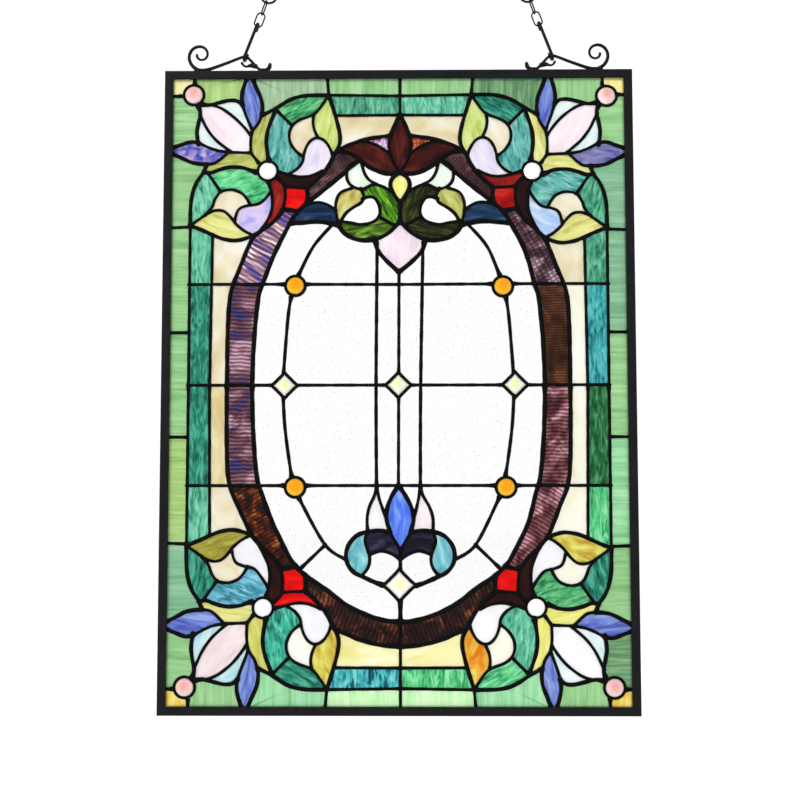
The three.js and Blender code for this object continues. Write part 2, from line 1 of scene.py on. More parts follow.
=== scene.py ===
# Hanging stained glass window: a framed panel of copper-foiled glass on two chains
import math
import random

import bpy
import numpy as np
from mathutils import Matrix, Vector
from mathutils.bvhtree import BVHTree
from mathutils.geometry import delaunay_2d_cdt


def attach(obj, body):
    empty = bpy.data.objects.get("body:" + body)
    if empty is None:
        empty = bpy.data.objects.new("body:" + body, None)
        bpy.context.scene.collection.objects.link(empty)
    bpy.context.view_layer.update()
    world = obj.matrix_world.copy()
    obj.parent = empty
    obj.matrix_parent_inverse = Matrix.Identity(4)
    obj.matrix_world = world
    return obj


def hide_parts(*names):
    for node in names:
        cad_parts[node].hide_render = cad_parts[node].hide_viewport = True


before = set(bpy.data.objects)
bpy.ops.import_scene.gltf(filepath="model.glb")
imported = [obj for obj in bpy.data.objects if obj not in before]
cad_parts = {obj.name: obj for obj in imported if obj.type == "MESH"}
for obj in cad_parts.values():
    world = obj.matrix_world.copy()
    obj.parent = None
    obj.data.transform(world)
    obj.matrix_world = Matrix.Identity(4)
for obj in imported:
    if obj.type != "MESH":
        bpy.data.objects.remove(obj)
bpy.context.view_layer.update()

# Sizes in millimetres, measured from the panel's centre, which hangs below the origin
PANEL_DROP = 395.896
HALF_WIDTH = 228.5
HALF_HEIGHT = 311.0
FRAME_FACE = 8.5
FRAME_DEPTH = 9.6
FRAME_SOFTNESS = 0.9
LIP_SOFTNESS = 0.5
LIP_CUT = 0.15
GROOVE_DEPTH = 4.0
GROOVE_HALF = 3.1
GLASS_HALF = 1.5
SEAM_HALF = 2.8
SEAM_WIDTHS = {"bold": 4.7, "line": 3.3, "vein": 3.6}
SEAM_SPACING = 1.7
BEZEL_WIDTH = 2.8
JEWEL_RISE = 2.6
STAR_RISE = 1.6
GIRDLE = 0.6
FIT_GAP = 0.3
MOTIF_SHIFT = 3.5
SCROLL_SHIFT = {(-1, 1): 0.0, (1, 1): 3.0, (-1, -1): 6.5, (1, -1): 4.0}
CORNERS = list(SCROLL_SHIFT)
CORNER_NAMES = ["upper_left", "upper_right", "lower_left", "lower_right"]
chance = random.Random(11)

# Seams of the upper left corner, which are mirrored to the other three. A seam is a run of places,
# x and z in turn.
CORNER_SEAMS = {
    "bold": [
        # flower
        (-196, 279, -186, 277.5, -177, 279.5, -166, 282, -158, 281.5, -152.5, 277.5),
        (-196.5, 278, -193.8, 269, -195.5, 260, -197, 250, -195.4, 238.4),
        (-146, 311, -152, 294, -153.5, 284, -152.5, 277),
        (-146, 311, -139, 294.5, -134.5, 284, -133, 274, -133.8, 267),
        (-228.5, 232.5, -212, 238, -203, 240.8, -195, 240),
        (-228.5, 232.5, -212, 225, -203, 220.8, -195, 219, -187, 218.5),
        (-119.5, 273.5, -123.8, 263, -127.6, 252, -128.9, 242, -128, 231, -126, 220, -126.5, 214),
        (-190, 211, -183.5, 210, -175, 213, -164, 215.6, -152, 215, -143, 212, -138, 210.5, -132, 210.8),
        # scrollwork
        (-133.8, 267, -121, 273.3, -105, 283, -90, 286.6, -68, 287),
        (-68, 287, -61.5, 266.5, -57.4, 250, -57, 240, -60, 231),
        (-187, 218.5, -190.5, 210, -196, 202, -200, 192, -202.3, 178, -202.5, 158),
        (-202.5, 158, -190, 153, -178, 147.5, -168, 144.2, -156, 143.3, -141, 147.5),
        (-112, 174, -104, 173, -98, 171.5),
        (-89, 180, -88.5, 187, -89, 194.8),
        # ring
        (-165.5, 0, -165, 60, -162.5, 92, -154, 116, -147.5, 133, -141, 147.5),
        (-141, 147.5, -131, 154.5, -119, 164, -112, 174),
        (-89, 194.8, -80, 202.8, -72.5, 210.5, -66.5, 219.5, -63, 227.5, -60, 231),
        (-141, 0, -140.3, 30, -138.5, 60, -135.5, 88, -131.5, 101, -120, 131, -104.5, 162, -98, 171.5),
        (-98, 171.5, -89, 180),
    ],
    "line": [],
    "vein": [
        # flower
        (-152.5, 277, -149.5, 268, -146, 259.5, -142.8, 252),
        (-133.8, 267, -137, 259, -142.8, 252),
        (-195, 240, -186, 235.5, -177, 232.3, -166, 230.5),
        (-187, 218.5, -179, 219.8, -172, 225, -166, 230.5),
        (-183, 278, -172, 273.5, -160, 264.5, -151, 255.5, -144, 247),
        (-194.5, 268, -191, 261, -186, 252, -178.5, 242.8, -171, 236.5, -163, 230.5),
        (-142.8, 252, -144.3, 242, -144, 229.8),
        (-166, 230.5, -144, 229.8),
        (-144, 229.8, -136.5, 220),
        # scrollwork
        (-119, 272, -104.5, 257.5),
        (-93, 226, -100, 231.5, -105.5, 240, -106.5, 249, -103.5, 256.8, -96.5, 262.3, -82.5, 268, -75,
         276.5, -68, 287),
        (-82.5, 268, -83.3, 260, -82, 252.5, -78.5, 244.5),
        (-107, 208.5, -99, 213.5, -93.7, 220.5, -92, 229, -89, 237, -84.5, 242.5, -78.5, 244.5, -72, 241.5,
         -67, 234.5, -64, 227),
        (-119.5, 211, -112, 209.5, -104, 207.3, -95, 205.8, -85, 207, -74, 211.5),
        (-120, 206, -114, 201, -110.5, 196),
        (-110.5, 196, -110.2, 185, -112, 174),
        (-110.5, 196, -101, 195.3, -89, 194.8),
        (-127.5, 202.5, -124.3, 193, -122.8, 183, -123.5, 173, -127, 163.5, -133.5, 153.5),
        (-186.5, 210.5, -173, 191.3),
        (-188, 168.3, -181.5, 176, -178.5, 184, -173, 191.3, -163, 193.3, -154, 190.5, -148.5, 185.5, -144,
         178),
        (-202.5, 158, -194, 164, -186, 169.6, -178, 172.8, -170, 172, -163.5, 166.5, -157.5, 159, -150,
         152.8, -141, 148),
        (-124.3, 191, -131, 182.8, -138, 178.8, -149, 177, -156, 173, -159.5, 162),
        # border and fields
        (-200, 311, -199.5, 295),
        (-228.5, 286.5, -213, 286.5),
        (-70, 311, -68, 287),
        (-68, 287, 0, 286),
        (-61.5, 266.5, 0, 266.8),
        (-228.5, 155.5, -202.5, 156.5),
        (-202.5, 158, -202.5, 0),
        (-180.5, 149, -181, 100, -182, 0),
    ],
}

# Seams that are mirrored from left to right only
SIDE_SEAMS = {
    "bold": [
        # top motif
        (-89, 180, -72, 193.5, -53, 209.5, -37.5, 222.5),
        (-60, 231, -50, 236.5, -40, 240.5, -28, 243.8, -9, 246.5),
        (-9, 246.5, -5, 257, 0, 268),
        (-60, 231, -48, 229.5, -37.5, 222.5),
        (-37.5, 222.5, -27, 214.3, -13, 209, 0, 209.5),
        (0, 209.5, -6.8, 204.5, -9, 197, -5.5, 188, 0, 180),
        (-58, 159, -54, 151.8, -46, 146, -36, 143.3, -24, 143.7, -13, 148.7, -5, 155.8, 0, 162),
        (-24, 143.7, -20.5, 133, -12, 122.7, 0, 112),
        (-104, 160, -93, 160.7, -80, 161.7, -68, 160.2, -57.5, 157.5),
        # bottom motif and ring
        (0, -94.5, -6.5, -104.5, -11.3, -116, -12.5, -127, -9.5, -139),
        (-9.5, -139, -19, -137.3, -30, -138.5, -40, -142.2, -47.3, -150.5, -50, -160, -48.5, -169, -43,
         -176.5, -35, -181, -22, -187, -14.5, -189.5),
        (-89, -180, -70, -192.5, -50, -207.5, -30, -217.5, -12, -222.7, 0, -223.5),
        (-60, -231, -50, -235, -40, -239.5, -25, -244, -12, -246.3, 0, -247),
    ],
    "line": [
        (-132, 100.3, 0, 99.8),
        (-141, 2, 0, 2),
        (-134, -94.5, 0, -94.5),
    ],
    "vein": [
        # top motif
        (-9, 246.5, -10.5, 236, -7.5, 223, 0, 209.5),
        (-36, 242, -22, 237, -10, 229),
        (-36.5, 221, -34, 210.5, -29.5, 203, -22, 198),
        (-34, 193.5, -25, 198, -16, 195.8, -8, 191),
        (-37.5, 222.5, -47.5, 217.3, -50.3, 208, -48, 199.5, -41, 194.3, -34, 193.5),
        (-58, 159, -60.8, 172, -60, 183, -55.5, 190.5, -45, 194.5),
        (-37, 194, -34.3, 187, -36.5, 180.5, -44.5, 175.3, -51.5, 169.3, -57, 160),
        (-35.5, 184, -30, 186, -24, 184.8, -19.6, 177.5, -19.2, 168, -25, 161.5, -36, 158.6, -46, 160.2, -57,
         162),
        (-19.3, 166, -4, 157),
        (-91, 177.5, -83, 180, -75, 180.2, -68, 177.7, -60.8, 172.5),
        # clear field
        (-101.5, 99, -106, 75, -109, 40, -111.5, 2),
        (-111.5, 2, -109.5, -35, -105, -70, -100.5, -96),
        (-101.5, 99, -95, 113, -82, 138, -63, 160),
        (-100.5, -96, -94, -109, -70, -151, -50, -165),
        (-70, -151, -92, -172),
        (-21.5, 141, -21.5, 2, -21, -94.5),
        # bottom motif
        (-21, -94.5, -23, -104, -28, -114.5, -30.5, -126, -30, -138.5),
        (-21, -94.5, -19, -106, -15, -119.5, -9.8, -136),
        (-9.5, -139, -4, -149, 0, -156),
        (0, -165, -9, -159, -18, -156.8, -28.5, -160),
        (-30, -138.5, -32.5, -146, -31.3, -153, -28.7, -160.5, -28.5, -168, -31, -174.5, -36, -180.5),
        # fields
        (-228.5, 53, -203, 53),
        (-228.5, -48, -203, -48),
        (-203, 100, -132, 100.3),
        (-203, 2, -141, 2),
        (-203, -94.5, -134, -94.5),
    ],
}

# Seams on the panel's centre line
MIDDLE_SEAMS = {
    "bold": [
        (0, 181, 0, 160),
        (0, -204, 0, -224),
    ],
    "line": [(0, 112, 0, -94.5)],
    "vein": [
        (0, 311, 0, 267),
        (0, -311, 0, -223.5),
        (0, -156, 0, -176),
    ],
}


def ramp(value, start, end):
    return min(max((value - start) / (end - start), 0.0), 1.0)


# The panel is made by hand, so its halves aren't true mirror images: the middle motifs lean to the
# right, and each scroll sits nearer to the panel's middle by its own amount
def placed(x, z):
    across, along = abs(x), abs(z)
    shift = MOTIF_SHIFT * ramp(x, -50, 50) * ramp(x, 155, 120) * ramp(along, 100, 130)
    corner = (1 if x > 0 else -1, 1 if z > 0 else -1)
    nearer = SCROLL_SHIFT[corner] * ramp(across, 128, 140) * ramp(along, 262, 222) * ramp(along, 100, 140)
    return x + shift, z - math.copysign(nearer, z)


# A smooth line through the points, with so many steps between two of them, then cut into even lengths
def smooth_line(points, steps, spacing):
    places = [np.array(point, float) for point in points]
    rough = []
    last = len(places) - 1
    for i in range(last):
        a, b = places[max(i - 1, 0)], places[i]
        c, d = places[i + 1], places[min(i + 2, last)]
        for step in range(steps):
            t = step / steps
            rough.append(0.5 * (2 * b + (c - a) * t + (2 * a - 5 * b + 4 * c - d) * t ** 2
                                + (3 * b - a - 3 * c + d) * t ** 3))
    rough.append(places[-1])
    return evenly(np.array(rough), spacing)


def run_along(line):
    return np.concatenate([[0], np.cumsum(np.linalg.norm(np.diff(line, axis=0), axis=1))])


def evenly(line, spacing):
    run = run_along(line)
    count = max(int(round(run[-1] / spacing)), 2)
    at = np.linspace(0, run[-1], count + 1)
    return np.stack([np.interp(at, run, line[:, k]) for k in range(line.shape[1])], 1)


def curve(seam, flip_x, flip_z):
    places = [placed(x * flip_x, z * flip_z) for x, z in zip(seam[::2], seam[1::2])]
    if len(places) == 2:
        return evenly(np.array(places), SEAM_SPACING)
    return smooth_line(places, 10, SEAM_SPACING)


def all_seams():
    mirrored = ((CORNER_SEAMS, [(-sx, sz) for sx, sz in CORNERS]), (SIDE_SEAMS, [(1, 1), (-1, 1)]),
                (MIDDLE_SEAMS, [(1, 1)]))
    return [(kind, curve(seam, *flip)) for kind in SEAM_WIDTHS for table, flips in mirrored
            for seam in table[kind] for flip in flips]


# Shapes and places of the jewels
RING_SIDES = 48
STAR_SIDES = 64
STAR_CURVE = 0.8
SMALL_STAR = 11.4
LARGE_STAR = 14.6
# Radius, then places at the upper left, upper right, lower left and lower right
JEWEL_SETS = {
    "pink_jewel_": (8.6, [(-200.3, 287.6), (203.5, 285.2), (-203, -285), (204, -285)]),
    "white_jewel_": (8.3, [(-127.3, 211.8), (127.8, 211), (-129, -211), (128, -210)]),
    "amber_jewel_": (8.4, [(-99.8, 98.6), (101.2, 97.7), (-99, -96.1), (103, -96.2)]),
}
round_jewels = [(name + corner, placed(*spot), radius) for name, (radius, spots) in JEWEL_SETS.items()
                for corner, spot in zip(CORNER_NAMES, spots)]
star_jewels = [
    ("star_jewel_left", placed(-109.8, 1.7), SMALL_STAR),
    ("star_jewel_middle", placed(0, 2), SMALL_STAR),
    ("star_jewel_right", placed(112.4, 2.2), SMALL_STAR),
    ("star_jewel_bottom", placed(-0.8, -189.2), LARGE_STAR),
]


def full_turn(count):
    return np.arange(count) * 2 * math.pi / count


def ring_line(centre, radius):
    turn = full_turn(RING_SIDES)
    return np.stack([centre[0] + radius * np.sin(turn), centre[1] + radius * np.cos(turn)], 1)


def star_line(centre, reach, grow=0.0):
    turn = full_turn(STAR_SIDES)
    spread = np.abs(np.cos(turn)) ** STAR_CURVE + np.abs(np.sin(turn)) ** STAR_CURVE
    radius = reach / spread ** (1 / STAR_CURVE) + grow
    return np.stack([centre[0] + radius * np.cos(turn), centre[1] + radius * np.sin(turn)], 1)


# Meshes are gathered as forms: points in millimetres, faces, the finish of each face, and the
# place of each point on the sheet that the glass was cut from
class Form:
    def __init__(self):
        self.points = []
        self.faces = []
        self.finishes = []
        self.sheet = []

    def add(self, points, faces, finish=0, sheet=None):
        start = len(self.points)
        self.points += [tuple(p) for p in points]
        self.faces += [tuple(start + i for i in face) for face in faces]
        self.finishes += [finish] * len(faces)
        self.sheet += [tuple(p) for p in (points if sheet is None else sheet)]

    def build(self, name, materials, slot, nodes, sharp):
        mesh = bpy.data.meshes.new(name)
        points = [(x / 1000, y / 1000, (z - PANEL_DROP) / 1000) for x, y, z in self.points]
        mesh.from_pydata(points, [], self.faces)
        for material in materials:
            mesh.materials.append(material)
        mesh.polygons.foreach_set("material_index", self.finishes)
        attribute = mesh.attributes.new("sheet", "FLOAT_VECTOR", "POINT")
        attribute.data.foreach_set("vector", np.array(self.sheet, np.float32).ravel())
        mesh.shade_smooth()
        mesh.set_sharp_from_angle(angle=math.radians(sharp))
        mesh.update()
        obj = bpy.data.objects.new(name, mesh)
        bpy.context.scene.collection.objects.link(obj)
        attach(obj, "root")
        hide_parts(*nodes)


# Faces between rings of point numbers, each joined to the next one. An open row of rings is capped.
def skin(rings, closed=False):
    faces = []
    for first, second in zip(rings, rings[1:] + rings[:1] if closed else rings[1:]):
        for k in range(len(first)):
            n = (k + 1) % len(first)
            faces.append((first[k], first[n], second[n], second[k]))
    if not closed:
        faces += [tuple(reversed(rings[0])), tuple(rings[-1])]
    return faces


CAP_ANGLES = (0.5, 1.0, 1.35)


# A tube of oval section swept along a path that lies in one plane. Across is measured in that
# plane and rise at right angles to it. An open path gets rounded ends.
def sweep(path, normal, across, rise, sides, closed=False):
    path = np.asarray(path, float)
    count = len(path)
    across = np.broadcast_to(np.asarray(across, float), count)
    rise = np.broadcast_to(np.asarray(rise, float), count)
    normal = np.asarray(normal, float)
    if closed:
        tangents = np.roll(path, -1, 0) - np.roll(path, 1, 0)
    else:
        tangents = np.gradient(path, axis=0)
    tangents /= np.linalg.norm(tangents, axis=1)[:, None]
    sideways = np.cross(tangents, normal)
    sections = [(path[i], sideways[i], across[i], rise[i]) for i in range(count)]
    if not closed:
        caps = [(math.sin(a), math.cos(a)) for a in CAP_ANGLES]
        before = [(path[0] - tangents[0] * across[0] * out, sideways[0], across[0] * k, rise[0] * k)
                  for out, k in reversed(caps)]
        after = [(path[-1] + tangents[-1] * across[-1] * out, sideways[-1], across[-1] * k, rise[-1] * k)
                 for out, k in caps]
        sections = before + sections + after
    turn = full_turn(sides)
    points = [centre + np.outer(np.cos(turn) * wide, side) + np.outer(np.sin(turn) * high, normal)
              for centre, side, wide, high in sections]
    rings = [range(row * sides, (row + 1) * sides) for row in range(len(sections))]
    return np.concatenate(points), skin(rings, closed)


def upright(line):
    return np.stack([line[:, 0], np.zeros(len(line)), line[:, 1]], 1)


# Materials, with their colours written as 0xRRGGBB
def linear(colour):
    out = []
    for shift in (16, 8, 0):
        share = (colour >> shift & 255) / 255
        out.append(share / 12.92 if share <= 0.04045 else ((share + 0.055) / 1.055) ** 2.4)
    return (*out, 1.0)


# Spacing of the bands in a wave texture of scale 1
WAVE_PITCH = 0.314


class Shader:
    def __init__(self, name):
        self.material = bpy.data.materials.new(name)
        self.material.use_nodes = True
        self.nodes = self.material.node_tree.nodes
        self.links = self.material.node_tree.links
        self.surface = self.nodes["Principled BSDF"]

    def node(self, kind, settings=None, **inputs):
        node = self.nodes.new(kind)
        for key, value in (settings or {}).items():
            setattr(node, key, value)
        for key, value in inputs.items():
            self.plug(node.inputs[key.replace("_", " ")], value)
        return node

    def plug(self, socket, value):
        if isinstance(value, bpy.types.NodeSocket):
            self.links.new(value, socket)
        else:
            socket.default_value = value

    def set(self, **inputs):
        for key, value in inputs.items():
            self.plug(self.surface.inputs[key.replace("_", " ")], value)

    def ramp(self, factor, stops):
        node = self.node("ShaderNodeValToRGB", Fac=factor)
        elements = node.color_ramp.elements
        while len(elements) > 1:
            elements.remove(elements[-1])
        elements[0].position = stops[0][0]
        elements[0].color = stops[0][1]
        for position, colour in stops[1:]:
            elements.new(position).color = colour
        return node.outputs["Color"]

    def noise(self, vector, scale, detail=3.0, roughness=0.5, distortion=0.0):
        node = self.node("ShaderNodeTexNoise", Vector=vector, Scale=scale, Detail=detail, Roughness=roughness,
                         Distortion=distortion)
        return node.outputs["Fac"]

    # The place of each point on the sheet that the glass was cut from
    def sheet(self):
        return self.node("ShaderNodeAttribute", {"attribute_name": "sheet"}).outputs["Vector"]

    def ribs(self, vector, direction, spacing, distortion, detail_scale):
        bands = {"wave_type": "BANDS", "bands_direction": direction}
        node = self.node("ShaderNodeTexWave", bands, Vector=vector, Scale=WAVE_PITCH / spacing,
                         Distortion=distortion, Detail=2.0, Detail_Scale=detail_scale)
        return node.outputs["Fac"]

    def stretched(self, vector, scale, location=(0, 0, 0)):
        node = self.node("ShaderNodeMapping", Vector=vector, Scale=scale, Location=location)
        return node.outputs["Vector"]

    def mix(self, factor, first, second, blend="MIX"):
        node = self.node("ShaderNodeMix", {"data_type": "RGBA", "blend_type": blend})
        self.plug(node.inputs[0], factor)
        self.plug(node.inputs[6], first)
        self.plug(node.inputs[7], second)
        return node.outputs[2]

    def maths(self, operation, *values):
        node = self.node("ShaderNodeMath", {"operation": operation})
        for socket, value in zip(node.inputs, values):
            self.plug(socket, value)
        return node.outputs[0]

    def bump(self, height, strength, distance):
        node = self.node("ShaderNodeBump", Height=height, Strength=strength, Distance=distance)
        return node.outputs["Normal"]


materials = {}
# Painted shade in the troughs of catspaw ribs and a painted highlight on their crests, multiplied into the
# glass's colour
RIB_SHADE_AND_HIGHLIGHT = [(0.05, (0.45, 0.4, 0.45, 1)), (0.5, (0.9, 0.88, 0.9, 1)), (0.95, (1.75, 1.7, 1.65, 1))]


# Sheet glass. Shades run from the darkest streak to the lightest, and along and across give the size
# of the streaks. Ripple is the spacing of the ribs in catspaw glass, and hatch of those that cross them.
# Clear is the share of light that comes through, and a small spread sets the shades close together.
def sheet_glass(name, shades, along, across, wisp=None, ripple=0.0, hatch=0.0, clear=0.5, rough=0.32,
                bump=0.25, spread=0.17):
    shader = Shader(name)
    sheet = shader.sheet()
    streaks = shader.stretched(sheet, (1 / along, 1 / along, 1 / across))
    cloud = shader.noise(streaks, 1.0, 4.0, 0.55, 0.9)
    count = len(shades)
    stops = [(0.5 + spread * (2 * i / (count - 1) - 1), linear(shade)) for i, shade in enumerate(shades)]
    colour = shader.ramp(cloud, stops)
    if wisp:
        threads = shader.stretched(sheet, (1.6 / along, 1.6 / along, 4.5 / across), (31, 7, 12))
        fine = shader.noise(threads, 1.0, 5.0, 0.6, 0.4)
        amount = shader.ramp(fine, [(0.5, (0, 0, 0, 1)), (0.78, (1, 1, 1, 1))])
        colour = shader.mix(amount, colour, linear(wisp))
    height = shader.noise(sheet, 0.22, 3.0, 0.5, 0.3)
    if ripple:
        ribs = shader.ribs(sheet, "Z", ripple, 3.4, 0.9)
        if hatch:
            ribs = shader.maths("MULTIPLY", ribs, shader.ribs(sheet, "X", hatch, 2.0, 1.0))
        # The ribs shade the colour: painted shade in their troughs and a painted highlight on their crests
        colour = shader.mix(1.0, colour, shader.ramp(ribs, RIB_SHADE_AND_HIGHLIGHT), "MULTIPLY")
        height = shader.maths("ADD", height, ribs)
    shader.set(Base_Color=colour, Roughness=rough, IOR=1.2, Transmission_Weight=clear,
               Normal=shader.bump(height, bump, 0.0006))
    materials[name] = shader.material


def sheets(rows, **shared):
    for name, shades, *streaks in rows:
        sheet_glass(name, shades, *streaks, **shared)


# Clear seedy glass: fine bubbles and specks in a faintly hammered sheet
def clear_glass(name):
    shader = Shader(name)
    sheet = shader.sheet()
    cells = shader.node("ShaderNodeTexVoronoi", Vector=sheet, Scale=0.5, Randomness=1.0)
    picked = shader.node("ShaderNodeSeparateColor", Color=cells.outputs["Color"]).outputs[0]
    size = shader.maths("MULTIPLY", shader.maths("MULTIPLY", picked, picked), 0.22)
    speck = shader.maths("LESS_THAN", cells.outputs["Distance"], size)
    cloud = shader.noise(sheet, 0.9, 3.0, 0.7, 0.5)
    tone = shader.ramp(cloud, [(0.35, linear(0xF0F1F0)), (0.6, linear(0xFFFFFF))])
    dark = shader.ramp(shader.noise(sheet, 0.3, 2.0), [(0.35, linear(0x464646)), (0.65, linear(0xB4B4B2))])
    colour = shader.mix(speck, tone, dark)
    hammered = shader.noise(sheet, 0.16, 3.0, 0.5, 0.2)
    height = shader.maths("ADD", hammered, shader.maths("MULTIPLY", speck, -0.5))
    shader.set(Base_Color=colour, Roughness=0.04, IOR=1.3, Transmission_Weight=1.0,
               Normal=shader.bump(height, 0.3, 0.0005))
    materials[name] = shader.material


# Pressed jewels: deeper in colour at the heart, which sits a little above the middle, so that the lower rim
# is lightest, a painted glow of light gathered in the bottom of the dome
def jewel_glass(name, core, rim, heart=0.5, radius=8.0, clear=0.3):
    shader = Shader(name)
    sheet = shader.sheet()
    # Moving the heart up makes the lower rim lightest: painted light gathered in the bottom of the dome
    moved = shader.stretched(sheet, (1 / radius, 0.3 / radius, 1 / radius), (0, 0, -0.16))
    reach = shader.node("ShaderNodeVectorMath", {"operation": "LENGTH"})
    shader.plug(reach.inputs[0], moved)
    cloud = shader.noise(sheet, 0.12, 2.0, 0.5, 0.3)
    drift = shader.maths("MULTIPLY", shader.maths("SUBTRACT", cloud, 0.5), 0.3)
    uneven = shader.maths("ADD", reach.outputs["Value"], drift)
    colour = shader.ramp(uneven, [(0.1, linear(core)), (heart, linear(core)), (1.0, linear(rim))])
    shader.set(Base_Color=colour, Roughness=0.08, IOR=1.25, Transmission_Weight=clear,
               Normal=shader.bump(cloud, 0.03, 0.0003))
    materials[name] = shader.material


# Blackened metal, with fine tooling and a little wear on the high spots
def metal(name, dark, light, rough, grain, bump, specular):
    shader = Shader(name)
    place = shader.node("ShaderNodeTexCoord").outputs["Object"]
    coarse = shader.noise(place, grain, 4.0, 0.6, 0.3)
    fine = shader.noise(place, grain * 6, 3.0, 0.6)
    colour = shader.ramp(coarse, [(0.35, linear(dark)), (0.7, linear(light))])
    worn = shader.node("ShaderNodeMapRange", Value=fine, To_Min=rough - 0.08, To_Max=rough + 0.1)
    height = shader.maths("ADD", coarse, shader.maths("MULTIPLY", fine, 0.4))
    shader.set(Base_Color=colour, Roughness=worn.outputs["Result"], Specular_IOR_Level=specular,
               Normal=shader.bump(height, bump, 0.0008))
    materials[name] = shader.material


metal("frame_black", 0x08080B, 0x111115, 0.5, 60, 0.12, 0.14)
metal("solder_black", 0x020203, 0x09090A, 0.4, 180, 0.3, 0.06)
metal("hardware_black", 0x070708, 0x141314, 0.42, 220, 0.3, 0.14)

sheets([
    ("border_green", (0x7EB876, 0x92CB88, 0xA0D696, 0xB8E2AC), 90, 7, 0xCEE8BE),
    ("border_moss", (0x92BE6A, 0xA8D07A, 0xB4DA8C, 0xCAE8A6), 80, 6, 0xD8ECB4),
    ("border_grey", (0x84AA80, 0x9CC298, 0xACD0A6, 0xC0DCBA), 55, 4.5, 0xCCDEC4),
    ("border_sea", (0x70AC82, 0x80BA90, 0x8EC69E, 0xA6D4B2), 90, 7, 0xBADCBC),
    ("border_deep", (0x4E8254, 0x649868, 0x7AAA7A, 0x9CC496), 50, 5, 0xA2C896),
    ("border_fresh", (0x84CA8E, 0x94D8A0, 0xA4E5B0, 0xBCEEC2), 90, 7, 0xD4F6CE),
    ("border_mint", (0xB0ECAC, 0xC6F8BA, 0xD6FCC6, 0xECFEDE), 50, 5, 0xF0FEE0),
    ("petal_pink", (0xF3DEE7, 0xFAECF2, 0xFCF3F7, 0xFEFAFC), 40, 7, 0xFFFAFC),
    ("petal_pale", (0xD4EEEE, 0xE6F7F7, 0xF2FCFB, 0xFAFEFD), 40, 8),
    ("petal_aqua", (0xA4D4DE, 0xBCE4EC, 0xCEEEF2, 0xE2F8F8), 40, 8),
    ("petal_rose", (0xE8D0D4, 0xF0DEE0, 0xF6E8E9, 0xFBF4F4), 40, 7, 0xF8ECEC),
    ("olive", (0x92923E, 0xB2B85A, 0xC6CC6C, 0xDCE28E), 26, 4.5, 0xE6E6A0),
    ("lemon", (0xBEBA48, 0xCECE5C, 0xD8D86C, 0xEAE88C), 26, 6, 0xECEA94),
    ("lemon_light", (0xE2DC68, 0xF0EC7C, 0xF7F38C, 0xFBF9AC), 30, 7, 0xFBF9B4),
    ("straw", (0xC4C062, 0xDCDC7E, 0xECEA90, 0xF6F4B4), 26, 4.5, 0xF8F4C4),
    ("leaf", (0xACC456, 0xC8DC74, 0xD6E688, 0xE6F0AA), 26, 4.5, 0xEEF4B8),
    ("leaf_olive", (0x847C22, 0x9E9634, 0xB2AC48, 0xCAC668), 24, 4),
    ("lilac", (0xE2D6F0, 0xEEE6F7, 0xF5F0FA, 0xFBF9FD), 30, 8),
    ("sky_pale", (0x92B4EC, 0xB0CEF6, 0xC8DEF9, 0xE4EEFC), 22, 7),
    ("leaf_gold", (0xAC9842, 0xC8BA60, 0xD8D27A, 0xE8E49E), 30, 6, 0xECE4A4),
    ("mint", (0xD6F6D6, 0xECFCE8, 0xF8FEF6, 0xFEFFFD), 40, 14),
    ("bud_yellow", (0xF4EC74, 0xFAF692, 0xFCFAA4, 0xFEFCC6), 24, 8),
    ("shield_pink", (0xF0DEEC, 0xF8EAF4, 0xFBF1F8, 0xFEF9FC), 36, 12),
    ("bud_blue", (0x345CD8, 0x5680F0, 0x709AF8, 0x9CBCFC), 30, 8),
    ("sky", (0x54A0B2, 0x70BECA, 0x8AD4DC, 0xBAEAEE), 30, 10),
])
sheets([
    ("emerald", (0x126036, 0x2C9C60, 0x58BE7C, 0x8CDCA0), 15, 4, 0x96E2A0),
    ("emerald_bright", (0x1A8850, 0x3EC27C, 0x68DA94, 0xA0EEB6), 15, 4, 0xB0F0B4),
    ("emerald_teal", (0x126850, 0x329674, 0x56B28E, 0x82D0AA), 15, 4, 0x96D6B4),
    ("jade", (0x22846A, 0x4CB492, 0x70CCA8, 0xA0E4C4), 15, 4, 0xAAE6C8),
    ("teal", (0x086458, 0x1EA688, 0x40C0A4, 0x74DCC4), 15, 4, 0x86D8BE),
    ("teal_deep", (0x024A42, 0x127664, 0x2A947C, 0x5CBE9E), 15, 4, 0x64BE98),
    ("teal_blue", (0x0A6874, 0x289CA2, 0x48B8BA, 0x76D2D0), 15, 4, 0x78D2C8),
    ("turquoise", (0x227A7C, 0x4CA6A0, 0x6CC0B6, 0x98D8CE), 15, 4, 0xA0DCCE),
    ("teal_bars", (0x084654, 0x36ACB4, 0x60D2D4, 0x8CE4E0), 15, 4, 0x287882),
    ("green_deep", (0x06361E, 0x185E36, 0x2E7C4A, 0x56A66C), 15, 4, 0x46A050),
    ("sky_teal", (0x18707C, 0x46A0B4, 0x72BEDA, 0x9ED8E8), 15, 4, 0x96D6E2),
], spread=0.13, bump=0.35)
sheet_glass("cream", (0xE2D2A2, 0xEEE4C4, 0xF4EEDA, 0xFDFBF3), 70, 30, spread=0.16, rough=0.4)
sheets([
    ("cream_light", (0xF2EED0, 0xFAF9E6, 0xFDFCF0, 0xFFFFFA), 46, 24),
    ("cream_amber", (0xD4BC7E, 0xE4D29C, 0xEEE2B6, 0xF6F0D2), 40, 20),
    ("cream_yellow", (0xF2E696, 0xFAF4B6, 0xFCFACE, 0xFDFCE2), 50, 16),
], spread=0.2, rough=0.4)
sheets([
    ("corner_pale", (0xF6EA8E, 0xFCF5AA, 0xFDFAC0, 0xFEFDDE), 20, 8),
    ("corner_gold", (0xF2C84A, 0xF8DA62, 0xFBE678, 0xFEF2A0), 20, 8),
], rough=0.3)
